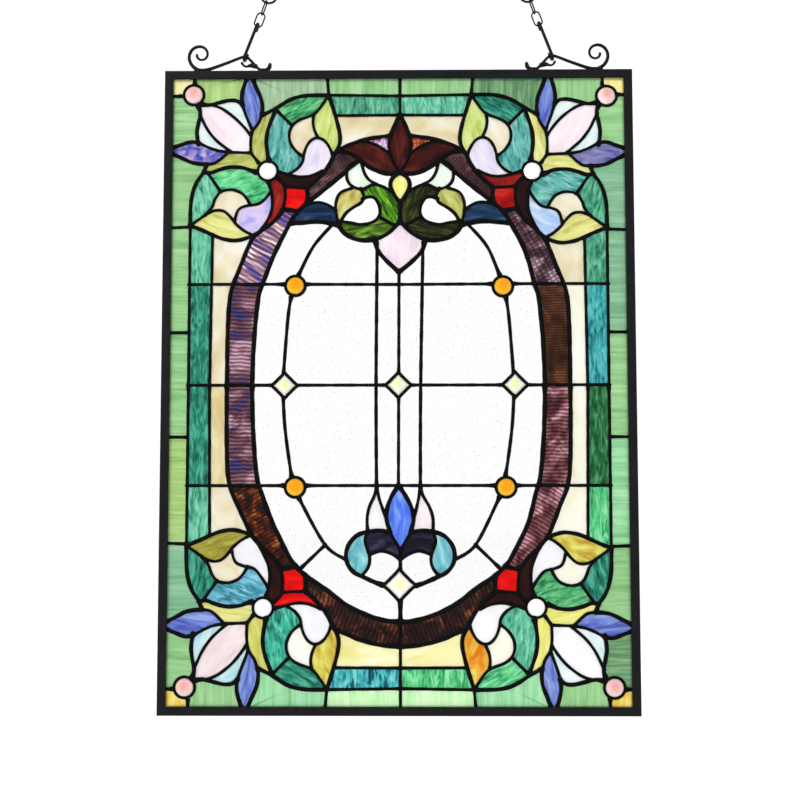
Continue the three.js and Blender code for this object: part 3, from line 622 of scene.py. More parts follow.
sheets([
    ("periwinkle", (0x4658B6, 0x6278D0, 0x7C94DE, 0xA0B4EA), 30, 5, 0xA6B2E0),
    ("iris", (0x5454A6, 0x7274B2, 0x8C8CBA, 0xB0A6C8), 22, 8),
    ("lilac_mix", (0x2C38BE, 0x686CC8, 0xA89ECE, 0xD8C4DC), 16, 8),
], spread=0.13)
sheets([
    ("leaf_lemon", (0xCEA034, 0xD6CA54, 0xE2DC68, 0xF0EC8C), 24, 8),
    ("violet_mix", (0xAAACEE, 0xCEC4F6, 0xE4D2F4, 0xF4E0EE), 16, 12),
], spread=0.12)
sheet_glass("leaf_orange", (0xE27C14, 0xECA02C, 0xF0C44A, 0xF4E274), 26, 12, spread=0.15)
sheet_glass("milk", (0xF3F3F8, 0xF9F8FC, 0xFDFCFE, 0xFFFFFF), 36, 12, rough=0.2)
sheet_glass("maroon", (0x260705, 0x3A0B09, 0x48110D, 0x622216), 26, 10, rough=0.22, spread=0.14)
sheets([
    ("maroon_dark", (0x120303, 0x220404, 0x2E0606, 0x440E0C), 24, 9),
    ("crimson", (0x620A08, 0x8A140E, 0xA22016, 0xBC3628), 26, 7),
    ("red", (0xCE0000, 0xE60202, 0xF40806, 0xFA241C), 24, 8),
    ("red_deep", (0x8C0204, 0xAC080C, 0xC01216, 0xDE322E), 24, 8),
    ("navy", (0x081A36, 0x143052, 0x224268, 0x3A6086), 24, 6),
    ("navy_violet", (0x080818, 0x18162A, 0x26243C, 0x444064), 24, 7),
], rough=0.22)
sheet_glass("violet_white", (0x6A287A, 0x965C9E, 0xCEA8D0, 0xFAF2FA), 6, 5, clear=0.8, spread=0.12)
sheets([
    ("moss_bright", (0x0C2002, 0x2A540A, 0x54941A, 0x96DE4C), 18, 4, 0x82DC30),
    ("moss_mid", (0x0E1A04, 0x2A3E0C, 0x4E681A, 0x8CBE42), 18, 4, 0x78D232),
    ("moss_dark", (0x060C02, 0x121804, 0x242A0A, 0x565824), 20, 4, 0x4E581A),
], clear=0.7, spread=0.14)
RIBBED = {"clear": 0.8, "rough": 0.14, "bump": 0.5}
sheet_glass("ripple_violet", (0x404AAC, 0x70547C, 0xBA929A, 0xFAEEF0), 46, 7, ripple=4.4, spread=0.14,
            **RIBBED)
sheet_glass("ripple_plum", (0x32326E, 0x5C3844, 0x78545E, 0xB08C9E), 26, 14, ripple=3.8, spread=0.15,
            **RIBBED)
sheet_glass("ripple_amber", (0x180602, 0x2E0D04, 0x521E08, 0xA0541C), 12, 9, ripple=3.6, spread=0.13,
            **RIBBED)
sheet_glass("ripple_umber", (0x1E0E08, 0x361C10, 0x4E2A18, 0x78482E), 14, 20, ripple=2.6, **RIBBED)
sheet_glass("ripple_brown", (0x0E0505, 0x1E0B0A, 0x361912, 0x824A2C), 14, 16, ripple=4.0, **RIBBED)
sheet_glass("ripple_rose", (0x222654, 0x523436, 0x705256, 0xB49EAC), 18, 10, ripple=3.8, hatch=5.0,
            spread=0.15, **RIBBED)
sheet_glass("ripple_berry", (0x3A1622, 0x603438, 0x825458, 0xC496A0), 14, 16, ripple=3.6, spread=0.14,
            **RIBBED)
sheet_glass("ripple_dark", (0x2C1A20, 0x462C30, 0x624244, 0x967070), 16, 14, ripple=2.6, hatch=2.6, **RIBBED)
sheet_glass("orange_ripple", (0x963214, 0xD25C32, 0xF08C60, 0xFED6B4), 12, 8, ripple=3.6, hatch=3.6, **RIBBED)
clear_glass("clear")
jewel_glass("amber_jewel", 0xFCA60A, 0xFFCE3C, 0.6, clear=0.2)
jewel_glass("pink_jewel", 0xF4B2AC, 0xFEF0EE, 0.3, 9.4)
jewel_glass("white_jewel", 0xFFFFFF, 0xFEFFFF, clear=0.75)
jewel_glass("star_jewel", 0xF7F29E, 0xFFFFEE, 0.1, 6.5, 0.1)

# Solder: a rounded bead on both sides of each seam, wider where seams meet and round the jewels
seams = all_seams()
up_y = np.array([0.0, 1.0, 0.0])
BEAD_SIDES = 10
WIRE_SIDES = 12
SWELL_REACH = 12
SWELL_FADE = 4.5
# How far the beads stop from the glass of the jewels and from the panel's edge
ROUND_STOP = 2.2
STAR_STOP = 1.6
EDGE_STOP = 5.2
END_FLARE = 0.24
FLARE_FADE = 3.2
# Unevenness of a bead: share of its width, length in millimetres and multiple of the phase
HAND_WAVES = ((0.05, 5.1, 1), (0.04, 2.3, 2))


# How much wider a bead is where it runs up to a jewel
def swell(point):
    grow = 0.0
    for jewels, margin, most in ((round_jewels, 1, 0.75), (star_jewels, 3, 0.12)):
        for _, centre, radius in jewels:
            away = math.hypot(point[0] - centre[0], point[1] - centre[1]) - radius - margin
            if away < SWELL_REACH:
                grow = max(grow, most * math.exp(-(max(away, 0) / SWELL_FADE) ** 2))
    return grow


def outside_jewels(line):
    free = np.ones(len(line), bool)
    for _, centre, radius in round_jewels:
        free &= np.linalg.norm(line - centre, axis=1) > radius + ROUND_STOP
    for _, centre, reach in star_jewels:
        free &= (np.abs(line - centre) ** STAR_CURVE).sum(1) ** (1 / STAR_CURVE) > reach + STAR_STOP
    free &= (np.abs(line) < (HALF_WIDTH - EDGE_STOP, HALF_HEIGHT - EDGE_STOP)).all(1)
    breaks = np.nonzero(np.diff(free.astype(int)))[0] + 1
    parts = zip(np.split(line, breaks), np.split(free, breaks))
    return [part for part, kept in parts if kept[0] and len(part) > 1]


# A bead of solder, wider at its ends and a little uneven along the way, as it was run by hand
def bead(form, line, width):
    run = run_along(line)
    phase = chance.uniform(0, 6.28)
    widths = []
    for s, point in zip(run, line):
        end = min(s, run[-1] - s)
        flare = END_FLARE * math.exp(-(end / FLARE_FADE) ** 2)
        hand = sum(size * math.sin(s / length + times * phase) for size, length, times in HAND_WAVES)
        widths.append(width / 2 * (1 + max(flare, swell(point)) + hand))
    widths = np.array(widths)
    form.add(*sweep(upright(line), up_y, widths, SEAM_HALF + 0.12 * (widths - width / 2), BEAD_SIDES))


# The rim round a jewel, so much wider and prouder than a plain seam
def bezel(form, line, wider, prouder):
    form.add(*sweep(upright(line), up_y, BEZEL_WIDTH / 2 + wider, SEAM_HALF + prouder, WIRE_SIDES, True))


solder = Form()
for kind, line in seams:
    for part in outside_jewels(line):
        bead(solder, part, SEAM_WIDTHS[kind])
for _, centre, radius in round_jewels:
    bezel(solder, ring_line(centre, radius + BEZEL_WIDTH / 2 - 0.1), 0.15, 0.35)
for _, centre, reach in star_jewels:
    bezel(solder, star_line(centre, reach, BEZEL_WIDTH / 2 + 0.5), 0.3, 0.1)
solder.build("solder_web", [materials["solder_black"]], "solder", ["solder_lattice"], 60)

# Panes: the seams cut the sheet into cells, and each cell is known by a place in it
CORNER_PANES = [
    # x, z, grain, then the glass at the upper left, upper right, lower left and lower right
    (-212, 296, 90, "corner_pale", "corner_pale", "corner_gold", "corner_gold"),
    (-172, 292, 90, "border_moss", "border_green", "border_green", "border_green"),
    (-209, 262, 0, "border_green", "border_green", "border_green", "border_deep"),
    (-165, 252, 128, "petal_pink", "petal_pink", "petal_rose", "milk"),
    (-162, 276, 150, "petal_pale", "petal_pale", "petal_aqua", "petal_pale"),
    (-190, 248, 115, "petal_pale", "petal_pale", "petal_aqua", "petal_pale"),
    (-144, 278, 100, "periwinkle"),
    (-195, 229.5, 10, "lilac_mix", "iris", "periwinkle", "periwinkle"),
    (-135, 243, 75, "olive", "straw", "lemon", "lemon_light"),
    (-157, 223, 10, "olive", "straw", "straw", "lemon_light"),
    (-98, 274, 30, "emerald", "teal_deep", "teal_deep", "emerald_bright"),
    (-116, 240, 80, "turquoise", "turquoise", "teal", "jade"),
    (-94, 250, 60, "cream", "cream", "cream_light", "cream_light"),
    (-70, 258, 75, "leaf", "leaf", "leaf_lemon", "leaf_orange"),
    (-79, 228, 70, "lilac", "lilac", "milk", "milk"),
    (-98, 201, 170, "maroon_dark", "crimson", "red", "maroon_dark"),
    (-117, 184, 80, "crimson", "maroon_dark", "maroon_dark", "maroon_dark"),
    (-100, 185, 0, "red", "red_deep", "red", "red"),
    (-150, 202, 20, "emerald_bright", "turquoise", "sky_teal", "emerald"),
    (-190, 185, 100, "jade", "emerald_teal", "teal_deep", "teal_deep"),
    (-164, 181, 40, "cream", "cream", "cream", "cream_light"),
    (-141, 165, 20, "violet_mix", "sky_pale", "milk", "milk"),
    (-172, 157, 160, "straw", "straw", "leaf_olive", "leaf_lemon"),
    (-110, 295, 90, "border_grey", "border_deep", "border_fresh", "border_fresh"),
    (-213, 190, 0, "border_green", "border_sea", "border_sea", "border_green"),
    (-35, 295, 90, "border_green", "border_green", "border_mint", "border_mint"),
    (-30, 276, 90, "emerald_teal", "jade", "teal_bars", "emerald_bright"),
    (-30, 255, 10, "cream", "cream", "cream_yellow", "cream_yellow"),
    (-192, 120, 90, "jade", "emerald_teal", "jade", "emerald_bright"),
    (-168, 120, 80, "cream", "cream", "cream", "cream_light"),
    (-143, 120, 150, "ripple_violet", "ripple_rose", "ripple_amber", "ripple_berry"),
    (-67, 208, 130, "ripple_dark", "ripple_dark", None, None),
]
SIDE_PANES = [
    # x, z, grain, then the glass on the left and on the right
    (-212, 105, 0, "border_green", "border_sea"),
    (-212, 3, 0, "border_green"),
    (-212, -100, 0, "border_moss", "border_fresh"),
    (-192, 50, 90, "teal_deep", "teal_blue"),
    (-192, -45, 90, "teal_deep", "green_deep"),
    (-173, 50, 80, "cream", "cream_light"),
    (-173, -45, 80, "cream_amber", "cream_light"),
    (-153, 50, 178, "ripple_plum", "ripple_umber"),
    (-152, -45, 0, "ripple_plum", "ripple_berry"),
    (-40, -228, 70, "ripple_brown", "ripple_brown"),
    (-25, 228, 150, "maroon"),
    (-17, 240, 90, "violet_white", "orange_ripple"),
    (-20, 206, 160, "clear"),
    (-40, 205, 110, "mint"),
    (-65, 190, 0, "clear"),
    (-50, 182, 60, "leaf_gold", "olive"),
    (-12, 180, 120, "moss_bright", "moss_dark"),
    (-30, 151, 10, "moss_mid", "moss_dark"),
    (-32, 170, 0, "clear"),
    (-80, 172, 0, "navy"),
    (-100, 130, 0, "clear"),
    (-50, 125, 0, "clear"),
    (-10, 106, 0, "clear"),
    (-125, 50, 0, "clear"),
    (-60, 50, 0, "clear"),
    (-10, 50, 0, "clear"),
    (-125, -50, 0, "clear"),
    (-60, -50, 0, "clear"),
    (-10, -50, 0, "clear"),
    (-115, -120, 0, "clear"),
    (-55, -120, 0, "clear"),
    (-24, -125, 90, "milk", "petal_pink"),
    (-13, -108, 90, "clear"),
    (-60, -180, 0, "clear"),
    (-18, -148, 20, "navy_violet"),
    (-39, -160, 80, "sky"),
    (-16, -171, 60, "clear"),
    (-44.5, 217.5, 0, "clear"),
]
MIDDLE_PANES = [
    (0, 240, 90, "maroon"),
    (0, 195, 90, "bud_yellow"),
    (0, 135, 90, "shield_pink"),
    (0, -125, 90, "bud_blue"),
]


def all_panes():
    panes = []
    for x, z, grain, *glass in CORNER_PANES:
        for i, (sx, sz) in enumerate(CORNERS):
            name = glass[i] if len(glass) > 1 else glass[0]
            if name:
                panes.append((*placed(-x * sx, z * sz), -grain * sx * sz, name))
    for x, z, grain, *glass in SIDE_PANES:
        for side in (1, -1):
            name = glass[-1] if side < 0 else glass[0]
            panes.append((*placed(x * side, z), grain * side, name))
    for x, z, grain, name in MIDDLE_PANES:
        panes.append((*placed(x, z), grain, name))
    return panes


# A seam's end runs on into a seam that is near, or else a little past its own end
TOUCHING = 0.02
JOIN_REACH = 4.0
JOIN_OVERRUN = 0.4
FREE_OVERRUN = 0.9
FRAME_TUCK = 2.2
PANE_INSET = 0.55
MITRE_LIMIT = 1.6


# Points and triangles of the whole sheet, and the number of the cell that each triangle belongs to
def cut_cells():
    points, edges = [], []

    def trace(line, closed=False):
        start = len(points)
        points.extend(line.tolist())
        count = len(line)
        edges.extend((start + i, start + i + 1) for i in range(count - 1))
        if closed:
            edges.append((start + count - 1, start))

    rims = [ring_line(centre, radius + BEZEL_WIDTH / 2) for _, centre, radius in round_jewels]
    rims += [star_line(centre, reach, BEZEL_WIDTH / 2) for _, centre, reach in star_jewels]
    walls_near = [line for _, line in seams] + rims
    starts = np.vstack([line[:-1] for line in walls_near])
    ends = np.vstack([line[1:] for line in walls_near])
    owner = np.concatenate([np.full(len(line) - 1, i) for i, line in enumerate(walls_near)])

    def reached(tip, inner, own):
        step = ends - starts
        share = np.clip(((tip - starts) * step).sum(1) / (step * step).sum(1), 0, 1)
        near = starts + share[:, None] * step
        gap = np.linalg.norm(near - tip, axis=1)
        gap[owner == own] = np.inf
        k = int(np.argmin(gap))
        if TOUCHING < gap[k] < JOIN_REACH:
            return near[k] + (near[k] - tip) / gap[k] * JOIN_OVERRUN
        return tip + (tip - inner) / np.linalg.norm(tip - inner) * FREE_OVERRUN

    for i, (_, line) in enumerate(seams):
        trace(np.vstack([reached(line[0], line[1], i), line, reached(line[-1], line[-2], i)]))
    x, z = HALF_WIDTH - FRAME_FACE + FRAME_TUCK, HALF_HEIGHT - FRAME_FACE + FRAME_TUCK
    trace(np.array([(-x, -z), (x, -z), (x, z), (-x, z)]), True)
    for rim in rims:
        trace(rim, True)
    spots, lines, triangles, _, sources, _ = delaunay_2d_cdt([Vector(p) for p in points], edges, [], 0, 1e-4)
    walls = {tuple(sorted(edge)) for edge, source in zip(lines, sources) if source}
    beside = {}
    for t, corner in enumerate(triangles):
        for k in range(3):
            beside.setdefault(tuple(sorted((corner[k], corner[(k + 1) % 3]))), []).append(t)
    cell = [-1] * len(triangles)
    count = 0
    for start in range(len(triangles)):
        if cell[start] >= 0:
            continue
        stack = [start]
        cell[start] = count
        while stack:
            corner = triangles[stack.pop()]
            for k in range(3):
                edge = tuple(sorted((corner[k], corner[(k + 1) % 3])))
                if edge in walls:
                    continue
                for t in beside[edge]:
                    if cell[t] < 0:
                        cell[t] = count
                        stack.append(t)
        count += 1
    return np.array([tuple(p) for p in spots]), triangles, np.array(cell)


# The triangle that a place lies in
def holding(spots, triangles, x, z):
    a, b, c = (spots[triangles[:, k]] for k in range(3))
    place = np.array([x, z])

    def turn(p, q):
        return (q[:, 0] - p[:, 0]) * (place[1] - p[:, 1]) - (q[:, 1] - p[:, 1]) * (place[0] - p[:, 0])

    signs = np.stack([turn(a, b), turn(b, c), turn(c, a)], 1)
    hits = np.nonzero((signs >= 0).all(1) | (signs <= 0).all(1))[0]
    return int(hits[0])


# One pane as a closed plate, its edge drawn in a little from the middle of the seam
def pane_form(form, spots, faces, finish, grain):
    used = sorted({i for face in faces for i in face})
    number = {old: new for new, old in enumerate(used)}
    plan = spots[used].copy()
    faces = [tuple(number[i] for i in face) for face in faces]
    directed = {(f[k], f[(k + 1) % 3]) for f in faces for k in range(3)}
    rim = [(a, b) for a, b in directed if (b, a) not in directed]
    push = np.zeros_like(plan)
    meet = np.zeros(len(plan))
    for a, b in rim:
        step = plan[b] - plan[a]
        inward = np.array([-step[1], step[0]]) / max(np.linalg.norm(step), 1e-9)
        for i in (a, b):
            push[i] += inward
            meet[i] += 1
    for i in np.nonzero(meet)[0]:
        size = np.linalg.norm(push[i])
        if size > 1e-6:
            plan[i] += push[i] / size * PANE_INSET * min(meet[i] / size, MITRE_LIMIT)
    count = len(plan)
    front = np.stack([plan[:, 0], np.full(count, -GLASS_HALF), plan[:, 1]], 1)
    back = front * (1, -1, 1)
    solid_faces = [tuple(face) for face in faces]
    solid_faces += [tuple(count + i for i in reversed(face)) for face in faces]
    solid_faces += [(b, a, count + a, count + b) for a, b in rim]
    points = np.vstack([front, back])
    angle = math.radians(grain)
    offset = (chance.uniform(-400, 400), chance.uniform(-50, 50), chance.uniform(-400, 400))
    along = points[:, 0] * math.cos(angle) + points[:, 2] * math.sin(angle) + offset[0]
    across = points[:, 2] * math.cos(angle) - points[:, 0] * math.sin(angle) + offset[2]
    form.add(points, solid_faces, finish, np.stack([along, points[:, 1] + offset[1], across], 1))


# Starts of the glass nodes' names, and the slot of each
GLASS_SLOTS = [
    ("border_glass", "border_glass"), ("flower_glass_top", "maroon_glass"), ("flower_glass", "flower_glass"),
    ("scroll_glass", "scroll_glass"), ("field_glass", "field_glass"), ("ring_glass", "ring_glass"),
    ("spray_glass_bottom", "blue_glass"), ("spray_glass", "spray_glass"), ("bud_glass", "yellow_glass"),
    ("shield_glass", "pink_glass"), ("clear_glass", "clear_glass"),
]


def node_tree(node):
    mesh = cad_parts[node].data
    return BVHTree.FromPolygons([v.co for v in mesh.vertices], [p.vertices for p in mesh.polygons])


glass_nodes = sorted(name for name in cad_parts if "_glass" in name)
trees = {name: node_tree(name) for name in glass_nodes}


# The glass node that the pane at a place belongs to
def node_at(x, z):
    place = Vector((x / 1000, 0, (z - PANEL_DROP) / 1000))
    front = place - Vector((0, 0.05, 0))
    for name, tree in trees.items():
        if tree.ray_cast(front, Vector((0, 1, 0)))[0] is not None:
            return name
    return min(trees, key=lambda name: trees[name].find_nearest(place)[3])


spots, triangles, cell = cut_cells()
corners = np.array(triangles)
glazing = {name: (Form(), []) for name in glass_nodes}
for x, z, grain, glass in all_panes():
    found = int(cell[holding(spots, corners, x, z)])
    form, finishes = glazing[node_at(x, z)]
    if glass not in finishes:
        finishes.append(glass)
    faces = [triangles[t] for t in np.nonzero(cell == found)[0]]
    pane_form(form, spots, faces, finishes.index(glass), grain)
for name, (form, finishes) in glazing.items():
    slot = next(slot for start, slot in GLASS_SLOTS if name.startswith(start))
    form.build(name + "_panes", [materials[glass] for glass in finishes], slot, [name], 30)


# Jewels: round ones with a flattened dome, and stars that rise to one point
DOME_RINGS = 14


def dome(form, centre, radius):
    top = SEAM_HALF + JEWEL_RISE
    profile = [(0.0, GLASS_HALF), (radius, GLASS_HALF), (radius, -GIRDLE)]
    for i in range(1, DOME_RINGS + 1):
        angle = i / DOME_RINGS * math.pi / 2
        profile.append((radius * math.cos(angle) ** 0.85, -GIRDLE - (top - GIRDLE) * math.sin(angle) ** 1.1))
    lathe(form, centre, profile, RING_SIDES)


def lathe(form, centre, profile, sides):
    turn = full_turn(sides)
    points, faces, rows = [], [], []
    for r, y in profile:
        if r < 1e-6:
            rows.append([len(points)])
            points.append((0.0, y, 0.0))
        else:
            rows.append(list(range(len(points), len(points) + sides)))
            points += [(r * math.sin(a), y, r * math.cos(a)) for a in turn]
    for first, second in zip(rows, rows[1:]):
        for k in range(sides):
            n = (k + 1) % sides
            if len(first) == 1:
                faces.append((first[0], second[k], second[n]))
            elif len(second) == 1:
                faces.append((first[n], first[k], second[0]))
            else:
                faces.append((first[k], second[k], second[n], first[n]))
    local = np.array(points)
    form.add(local + (centre[0], 0, centre[1]), faces, 0, local)


def star(form, centre, reach):
    rim = star_line((0, 0), reach)
    count = len(rim)
    girdle = upright(rim) + (0, -GIRDLE, 0)
    rear = upright(rim) + (0, GLASS_HALF, 0)
    points = np.vstack([girdle, rear, [(0, -(SEAM_HALF + STAR_RISE), 0)]])
    faces = []
    for i in range(count):
        n = (i + 1) % count
        faces.append((i, n, 2 * count))
        faces.append((n, i, count + i, count + n))
    faces.append(tuple(range(2 * count - 1, count - 1, -1)))
    form.add(points + (centre[0], 0, centre[1]), faces, 0, points)


for name, centre, radius in round_jewels:
    form = Form()
    dome(form, centre, radius)
    kind = name.split("_")[0]
    slot = {"pink": "rose_jewel", "white": "white_jewel", "amber": "amber_jewel"}[kind]
    form.build(name + "_dome", [materials[kind + "_jewel"]], slot, [name], 50)
for name, centre, reach in star_jewels:
    form = Form()
    star(form, centre, reach)
    form.build(name + "_cut", [materials["star_jewel"]], "yellow_glass", [name], 25)


# Frame: a channel with rounded edges, mitred at its corners
def channel():
    half = FRAME_DEPTH / 2
    turns = np.linspace(0, math.pi / 2, 5)[::-1]
    front = [(FRAME_SOFTNESS * (1 - math.sin(a)), -half + FRAME_SOFTNESS * (1 - math.cos(a))) for a in turns]
    front += [(FRAME_FACE - LIP_SOFTNESS, -half), (FRAME_FACE - LIP_CUT, -half + LIP_CUT),
              (FRAME_FACE, -half + LIP_SOFTNESS), (FRAME_FACE, -GROOVE_HALF),
              (FRAME_FACE - GROOVE_DEPTH, -GROOVE_HALF)]
    profile = front + [(d, -y) for d, y in reversed(front)]
    form = Form()
    points, faces = [], []
    for sx, sz in ((-1, -1), (1, -1), (1, 1), (-1, 1)):
        points += [(sx * (HALF_WIDTH - d), y, sz * (HALF_HEIGHT - d)) for d, y in profile]
    count = len(profile)
    for corner in range(4):
        a, b = corner * count, ((corner + 1) % 4) * count
        for k in range(count):
            n = (k + 1) % count
            faces.append((a + k, b + k, b + n, a + n))
    form.add(points, faces)
    return form


channel().build("frame_channel", [materials["frame_black"]], "frame", ["frame"], 35)

# Hangers: a wire that winds out of a scroll, rises to a peak and runs down to a short foot. Its places
# are measured from the peak, towards the panel's side and up.
PEAK_X = 150.0
PEAK_HEIGHT = 15.5
WIRE = 3.2
BOTTOM = -PEAK_HEIGHT + WIRE / 2 + FIT_GAP
SCROLL_RADIUS = 15.2
SCROLL_CENTRE = -44.0
SCROLL_TURN = math.radians(450)
SCROLL_STEPS = 28
SCROLL_CORE = 0.27
SCROLL_SPREAD = 1.8
RISE_PATH = [(-36, BOTTOM + 1), (-20, BOTTOM + 6.6), (-6, -1.5), (0, 0), (4.5, -3.5), (11.5, BOTTOM + 2.4),
             (15, BOTTOM + 0.2), (20, BOTTOM + 0.2), (23, BOTTOM + 2), (24, BOTTOM + 5.5)]
CURL_PATH = [(9.5, BOTTOM + 4), (5, BOTTOM + 4.6), (0.5, BOTTOM + 3.6), (-2.2, BOTTOM + 4.8),
             (-3.6, BOTTOM + 7)]
# Shares of the way along a wire, and how thick it is there: as a share of the wire's half for the
# hanger, and in millimetres for the curl
HANGER_SWELL = ([0, 0.01, 0.05, 0.22, 0.4, 0.62, 0.8, 0.93, 0.985, 1],
                [0.85, 0.85, 0.7, 0.95, 1.12, 0.95, 0.85, 0.95, 1.35, 1.1])
CURL_SWELL = ([0, 0.3, 0.55, 0.85, 1], [2.5, 2.1, 1.1, 1.1, 1.35])
# Places and lengths of the feet
FEET = ((SCROLL_CENTRE, 13), (17.5, 9))
FOOT_DEPTH = 6
FOOT_RISE = 2.6
FOOT_SOFTNESS = 0.7
PATH_STEPS = 12
PATH_SPACING = 0.7
HANGER_SPACING = 0.8
HANGER_SIDES = 14


def box_with_soft_edges(form, centre, size, soft):
    x, y, z = (value / 2 for value in size)
    points, rings = [], []
    for level, inset in ((-z, soft), (-z + soft, 0.0), (z - soft, 0.0), (z, soft)):
        ring = []
        for sx, sy in ((1, 1), (-1, 1), (-1, -1), (1, -1)):
            bend = [(x - inset, y - inset - soft), (x - inset - soft, y - inset)]
            if sx * sy < 0:
                bend.reverse()
            for px, py in bend:
                ring.append(len(points))
                points.append((centre[0] + sx * px, centre[1] + sy * py, centre[2] + level))
        rings.append(ring)
    form.add(points, skin(rings))


def hanger(side, name):
    form = Form()
    flip = np.array([-side, 1.0])
    home = np.array([side * PEAK_X, HALF_HEIGHT + PEAK_HEIGHT])
    middle = np.array([SCROLL_CENTRE, BOTTOM + SCROLL_RADIUS])
    path = []
    for i in range(SCROLL_STEPS + 1):
        share = i / SCROLL_STEPS
        angle = -math.pi / 2 - SCROLL_TURN * (1 - share)
        reach = SCROLL_RADIUS * (SCROLL_CORE + (1 - SCROLL_CORE) * share ** SCROLL_SPREAD)
        path.append(middle + (reach * math.cos(angle), reach * math.sin(angle)))
    line = smooth_line(path + RISE_PATH, PATH_STEPS, HANGER_SPACING) * flip + home
    width = WIRE / 2 * np.interp(np.linspace(0, 1, len(line)), *HANGER_SWELL)
    form.add(*sweep(upright(line), up_y, width, width, HANGER_SIDES))
    curl = smooth_line(CURL_PATH, PATH_STEPS, PATH_SPACING)
    taper = np.interp(np.linspace(0, 1, len(curl)), *CURL_SWELL)
    form.add(*sweep(upright(curl * flip + home), up_y, taper, taper, WIRE_SIDES))
    level = HALF_HEIGHT + FIT_GAP + FOOT_RISE / 2
    for place, length in FEET:
        size = (length, FOOT_DEPTH, FOOT_RISE)
        box_with_soft_edges(form, (home[0] - side * place, 0, level), size, FOOT_SOFTNESS)
    form.build("hanger_" + name + "_wire", [materials["hardware_black"]], "hardware", ["hanger_" + name], 50)


# Hooks and chains lean inwards by the chain's tilt
TILT = math.radians(20)
HOOK_WIRE = 3.2
HOOK_REACH = 32.0
HOOK_TIP = 3
HOOK_SLACK = 0.6
BEND_SHARE = 0.7
CONTACT = 0.1
LINK_WIRE = 1.5
LINK_LENGTH = 14.5
LINK_WIDTH = 8.0
LINK_SIDES = 40
RING_WIRE = 2.2
RING_RADIUS = 8.0


def leaning(points, side):
    points = np.asarray(points, float)
    c, s = math.cos(TILT), -side * math.sin(TILT)
    x = points[:, 0] * c + points[:, 2] * s + side * PEAK_X
    z = -points[:, 0] * s + points[:, 2] * c + HALF_HEIGHT + PEAK_HEIGHT
    return np.stack([x, points[:, 1], z], 1)


def hook(side, name):
    bend = (WIRE + HOOK_WIRE) / 2 + FIT_GAP + HOOK_SLACK
    top = (LINK_WIRE + HOOK_WIRE) / 2 + FIT_GAP
    low, high = bend * BEND_SHARE, top * BEND_SHARE
    path = [(bend, HOOK_TIP), (bend, 0), (low, -low), (0, -bend), (-low, -low), (-bend, 0.5),
            (-bend, HOOK_TIP), (-top, HOOK_REACH - HOOK_TIP), (-top, HOOK_REACH), (-high, HOOK_REACH + high),
            (0, HOOK_REACH + top), (high, HOOK_REACH + high), (top, HOOK_REACH), (top, HOOK_REACH - HOOK_TIP)]
    line = smooth_line(path, PATH_STEPS, PATH_SPACING)
    points, faces = sweep(np.stack([np.zeros(len(line)), line[:, 0], line[:, 1]], 1), (1, 0, 0),
                          HOOK_WIRE / 2, HOOK_WIRE / 2, WIRE_SIDES)
    form = Form()
    form.add(leaning(points, side), faces)
    form.build("hook_" + name + "_wire", [materials["hardware_black"]], "hardware", ["hook_" + name], 50)


# A round line pulled apart into a link of the given length
def oval(width, length):
    turn = full_turn(LINK_SIDES)
    stretch = np.sign(np.round(np.sin(turn), 6)) * max(length - width, 0) / 2
    return np.stack([width / 2 * np.cos(turn), width / 2 * np.sin(turn) + stretch], 1)


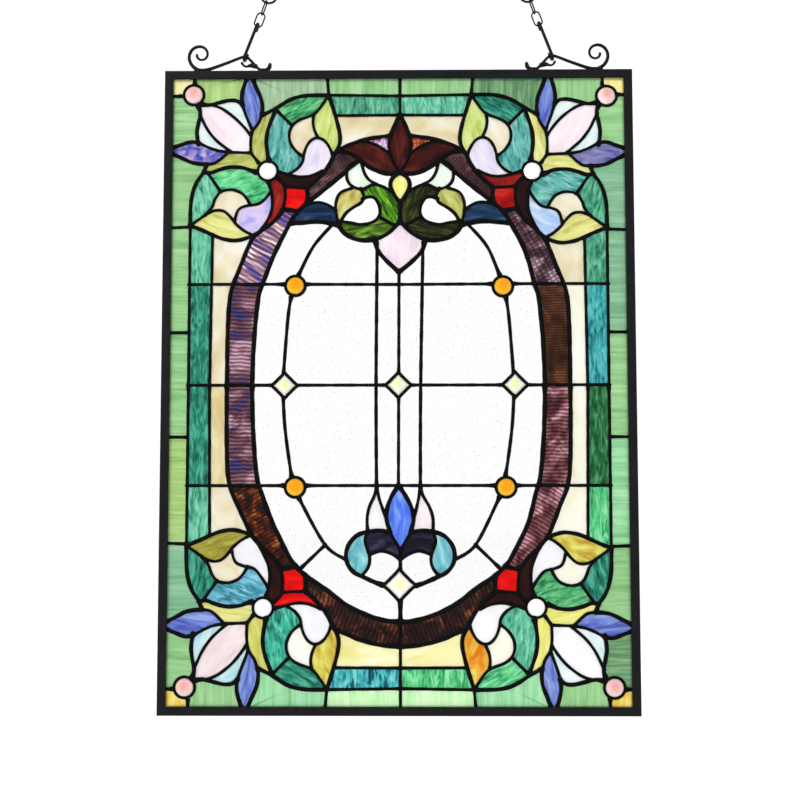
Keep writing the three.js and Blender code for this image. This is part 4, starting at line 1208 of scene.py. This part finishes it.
def chain(side, name):
    form = Form()
    seat = HOOK_REACH + LINK_LENGTH - LINK_WIRE + CONTACT
    ring_seat = seat + LINK_LENGTH - (LINK_WIRE + RING_WIRE) / 2 + CONTACT
    loops = [(LINK_WIDTH, LINK_LENGTH, LINK_WIRE, HOOK_REACH + LINK_LENGTH / 2, False),
             (LINK_WIDTH, LINK_LENGTH, LINK_WIRE, seat + LINK_LENGTH / 2, True),
             (2 * RING_RADIUS, 2 * RING_RADIUS, RING_WIRE, ring_seat + RING_RADIUS, False)]
    for width, length, wire, height, edge_on in loops:
        line = oval(width, length)
        empty = np.zeros(len(line))
        if edge_on:
            path, normal = np.stack([empty, line[:, 0], line[:, 1] + height], 1), (1, 0, 0)
        else:
            path, normal = np.stack([line[:, 0], empty, line[:, 1] + height], 1), (0, 1, 0)
        points, faces = sweep(path, normal, wire / 2, wire / 2, WIRE_SIDES, True)
        form.add(leaning(points, side), faces)
    form.build("chain_" + name + "_links", [materials["hardware_black"]], "hardware", ["chain_" + name], 50)


for side, name in ((-1, "left"), (1, "right")):
    hanger(side, name)
    hook(side, name)
    chain(side, name)

# Floor, light and camera, in metres
FLOOR_HALF = 8
FLOOR_LEVEL = -0.98
floor_mesh = bpy.data.meshes.new("floor")
floor_corners = ((-1, -1), (1, -1), (1, 1), (-1, 1))
floor_points = [(x * FLOOR_HALF, y * FLOOR_HALF, FLOOR_LEVEL) for x, y in floor_corners]
floor_mesh.from_pydata(floor_points, [], [(0, 1, 2, 3)])
floor = bpy.data.objects.new("floor", floor_mesh)
bpy.context.scene.collection.objects.link(floor)
pale = Shader("floor_pale")
pale.set(Base_Color=(0.97, 0.97, 0.97, 1), Roughness=0.9)
floor_mesh.materials.append(pale.material)

scene = bpy.context.scene
world = bpy.data.worlds.new("studio")
world.use_nodes = True
background = world.node_tree.nodes["Background"].inputs
background["Color"].default_value = (1, 1, 1, 1)
background["Strength"].default_value = 1.05
scene.world = world
scene.view_settings.view_transform = "Standard"


def softbox(name, place, aim, size, power):
    light = bpy.data.lights.new(name, "AREA")
    light.size = size
    light.energy = power
    lamp = bpy.data.objects.new(name, light)
    lamp.location = place
    lamp.rotation_euler = (Vector(aim) - Vector(place)).to_track_quat("-Z", "Y").to_euler()
    scene.collection.objects.link(lamp)


PANEL_MIDDLE = (0, 0, -0.4)
softbox("key", (-1.4, -1.7, 0.9), PANEL_MIDDLE, 1.0, 14)
softbox("back", (1.2, 1.9, 0.8), PANEL_MIDDLE, 1.2, 10)

camera = bpy.data.cameras.new("camera")
camera.lens = 50
viewer = bpy.data.objects.new("camera", camera)
viewer.location = (0.012, -1.0674, -0.4789)
viewer.rotation_euler = (math.radians(93.785), math.radians(0.045), math.radians(0.564))
scene.collection.objects.link(viewer)
scene.camera = viewer
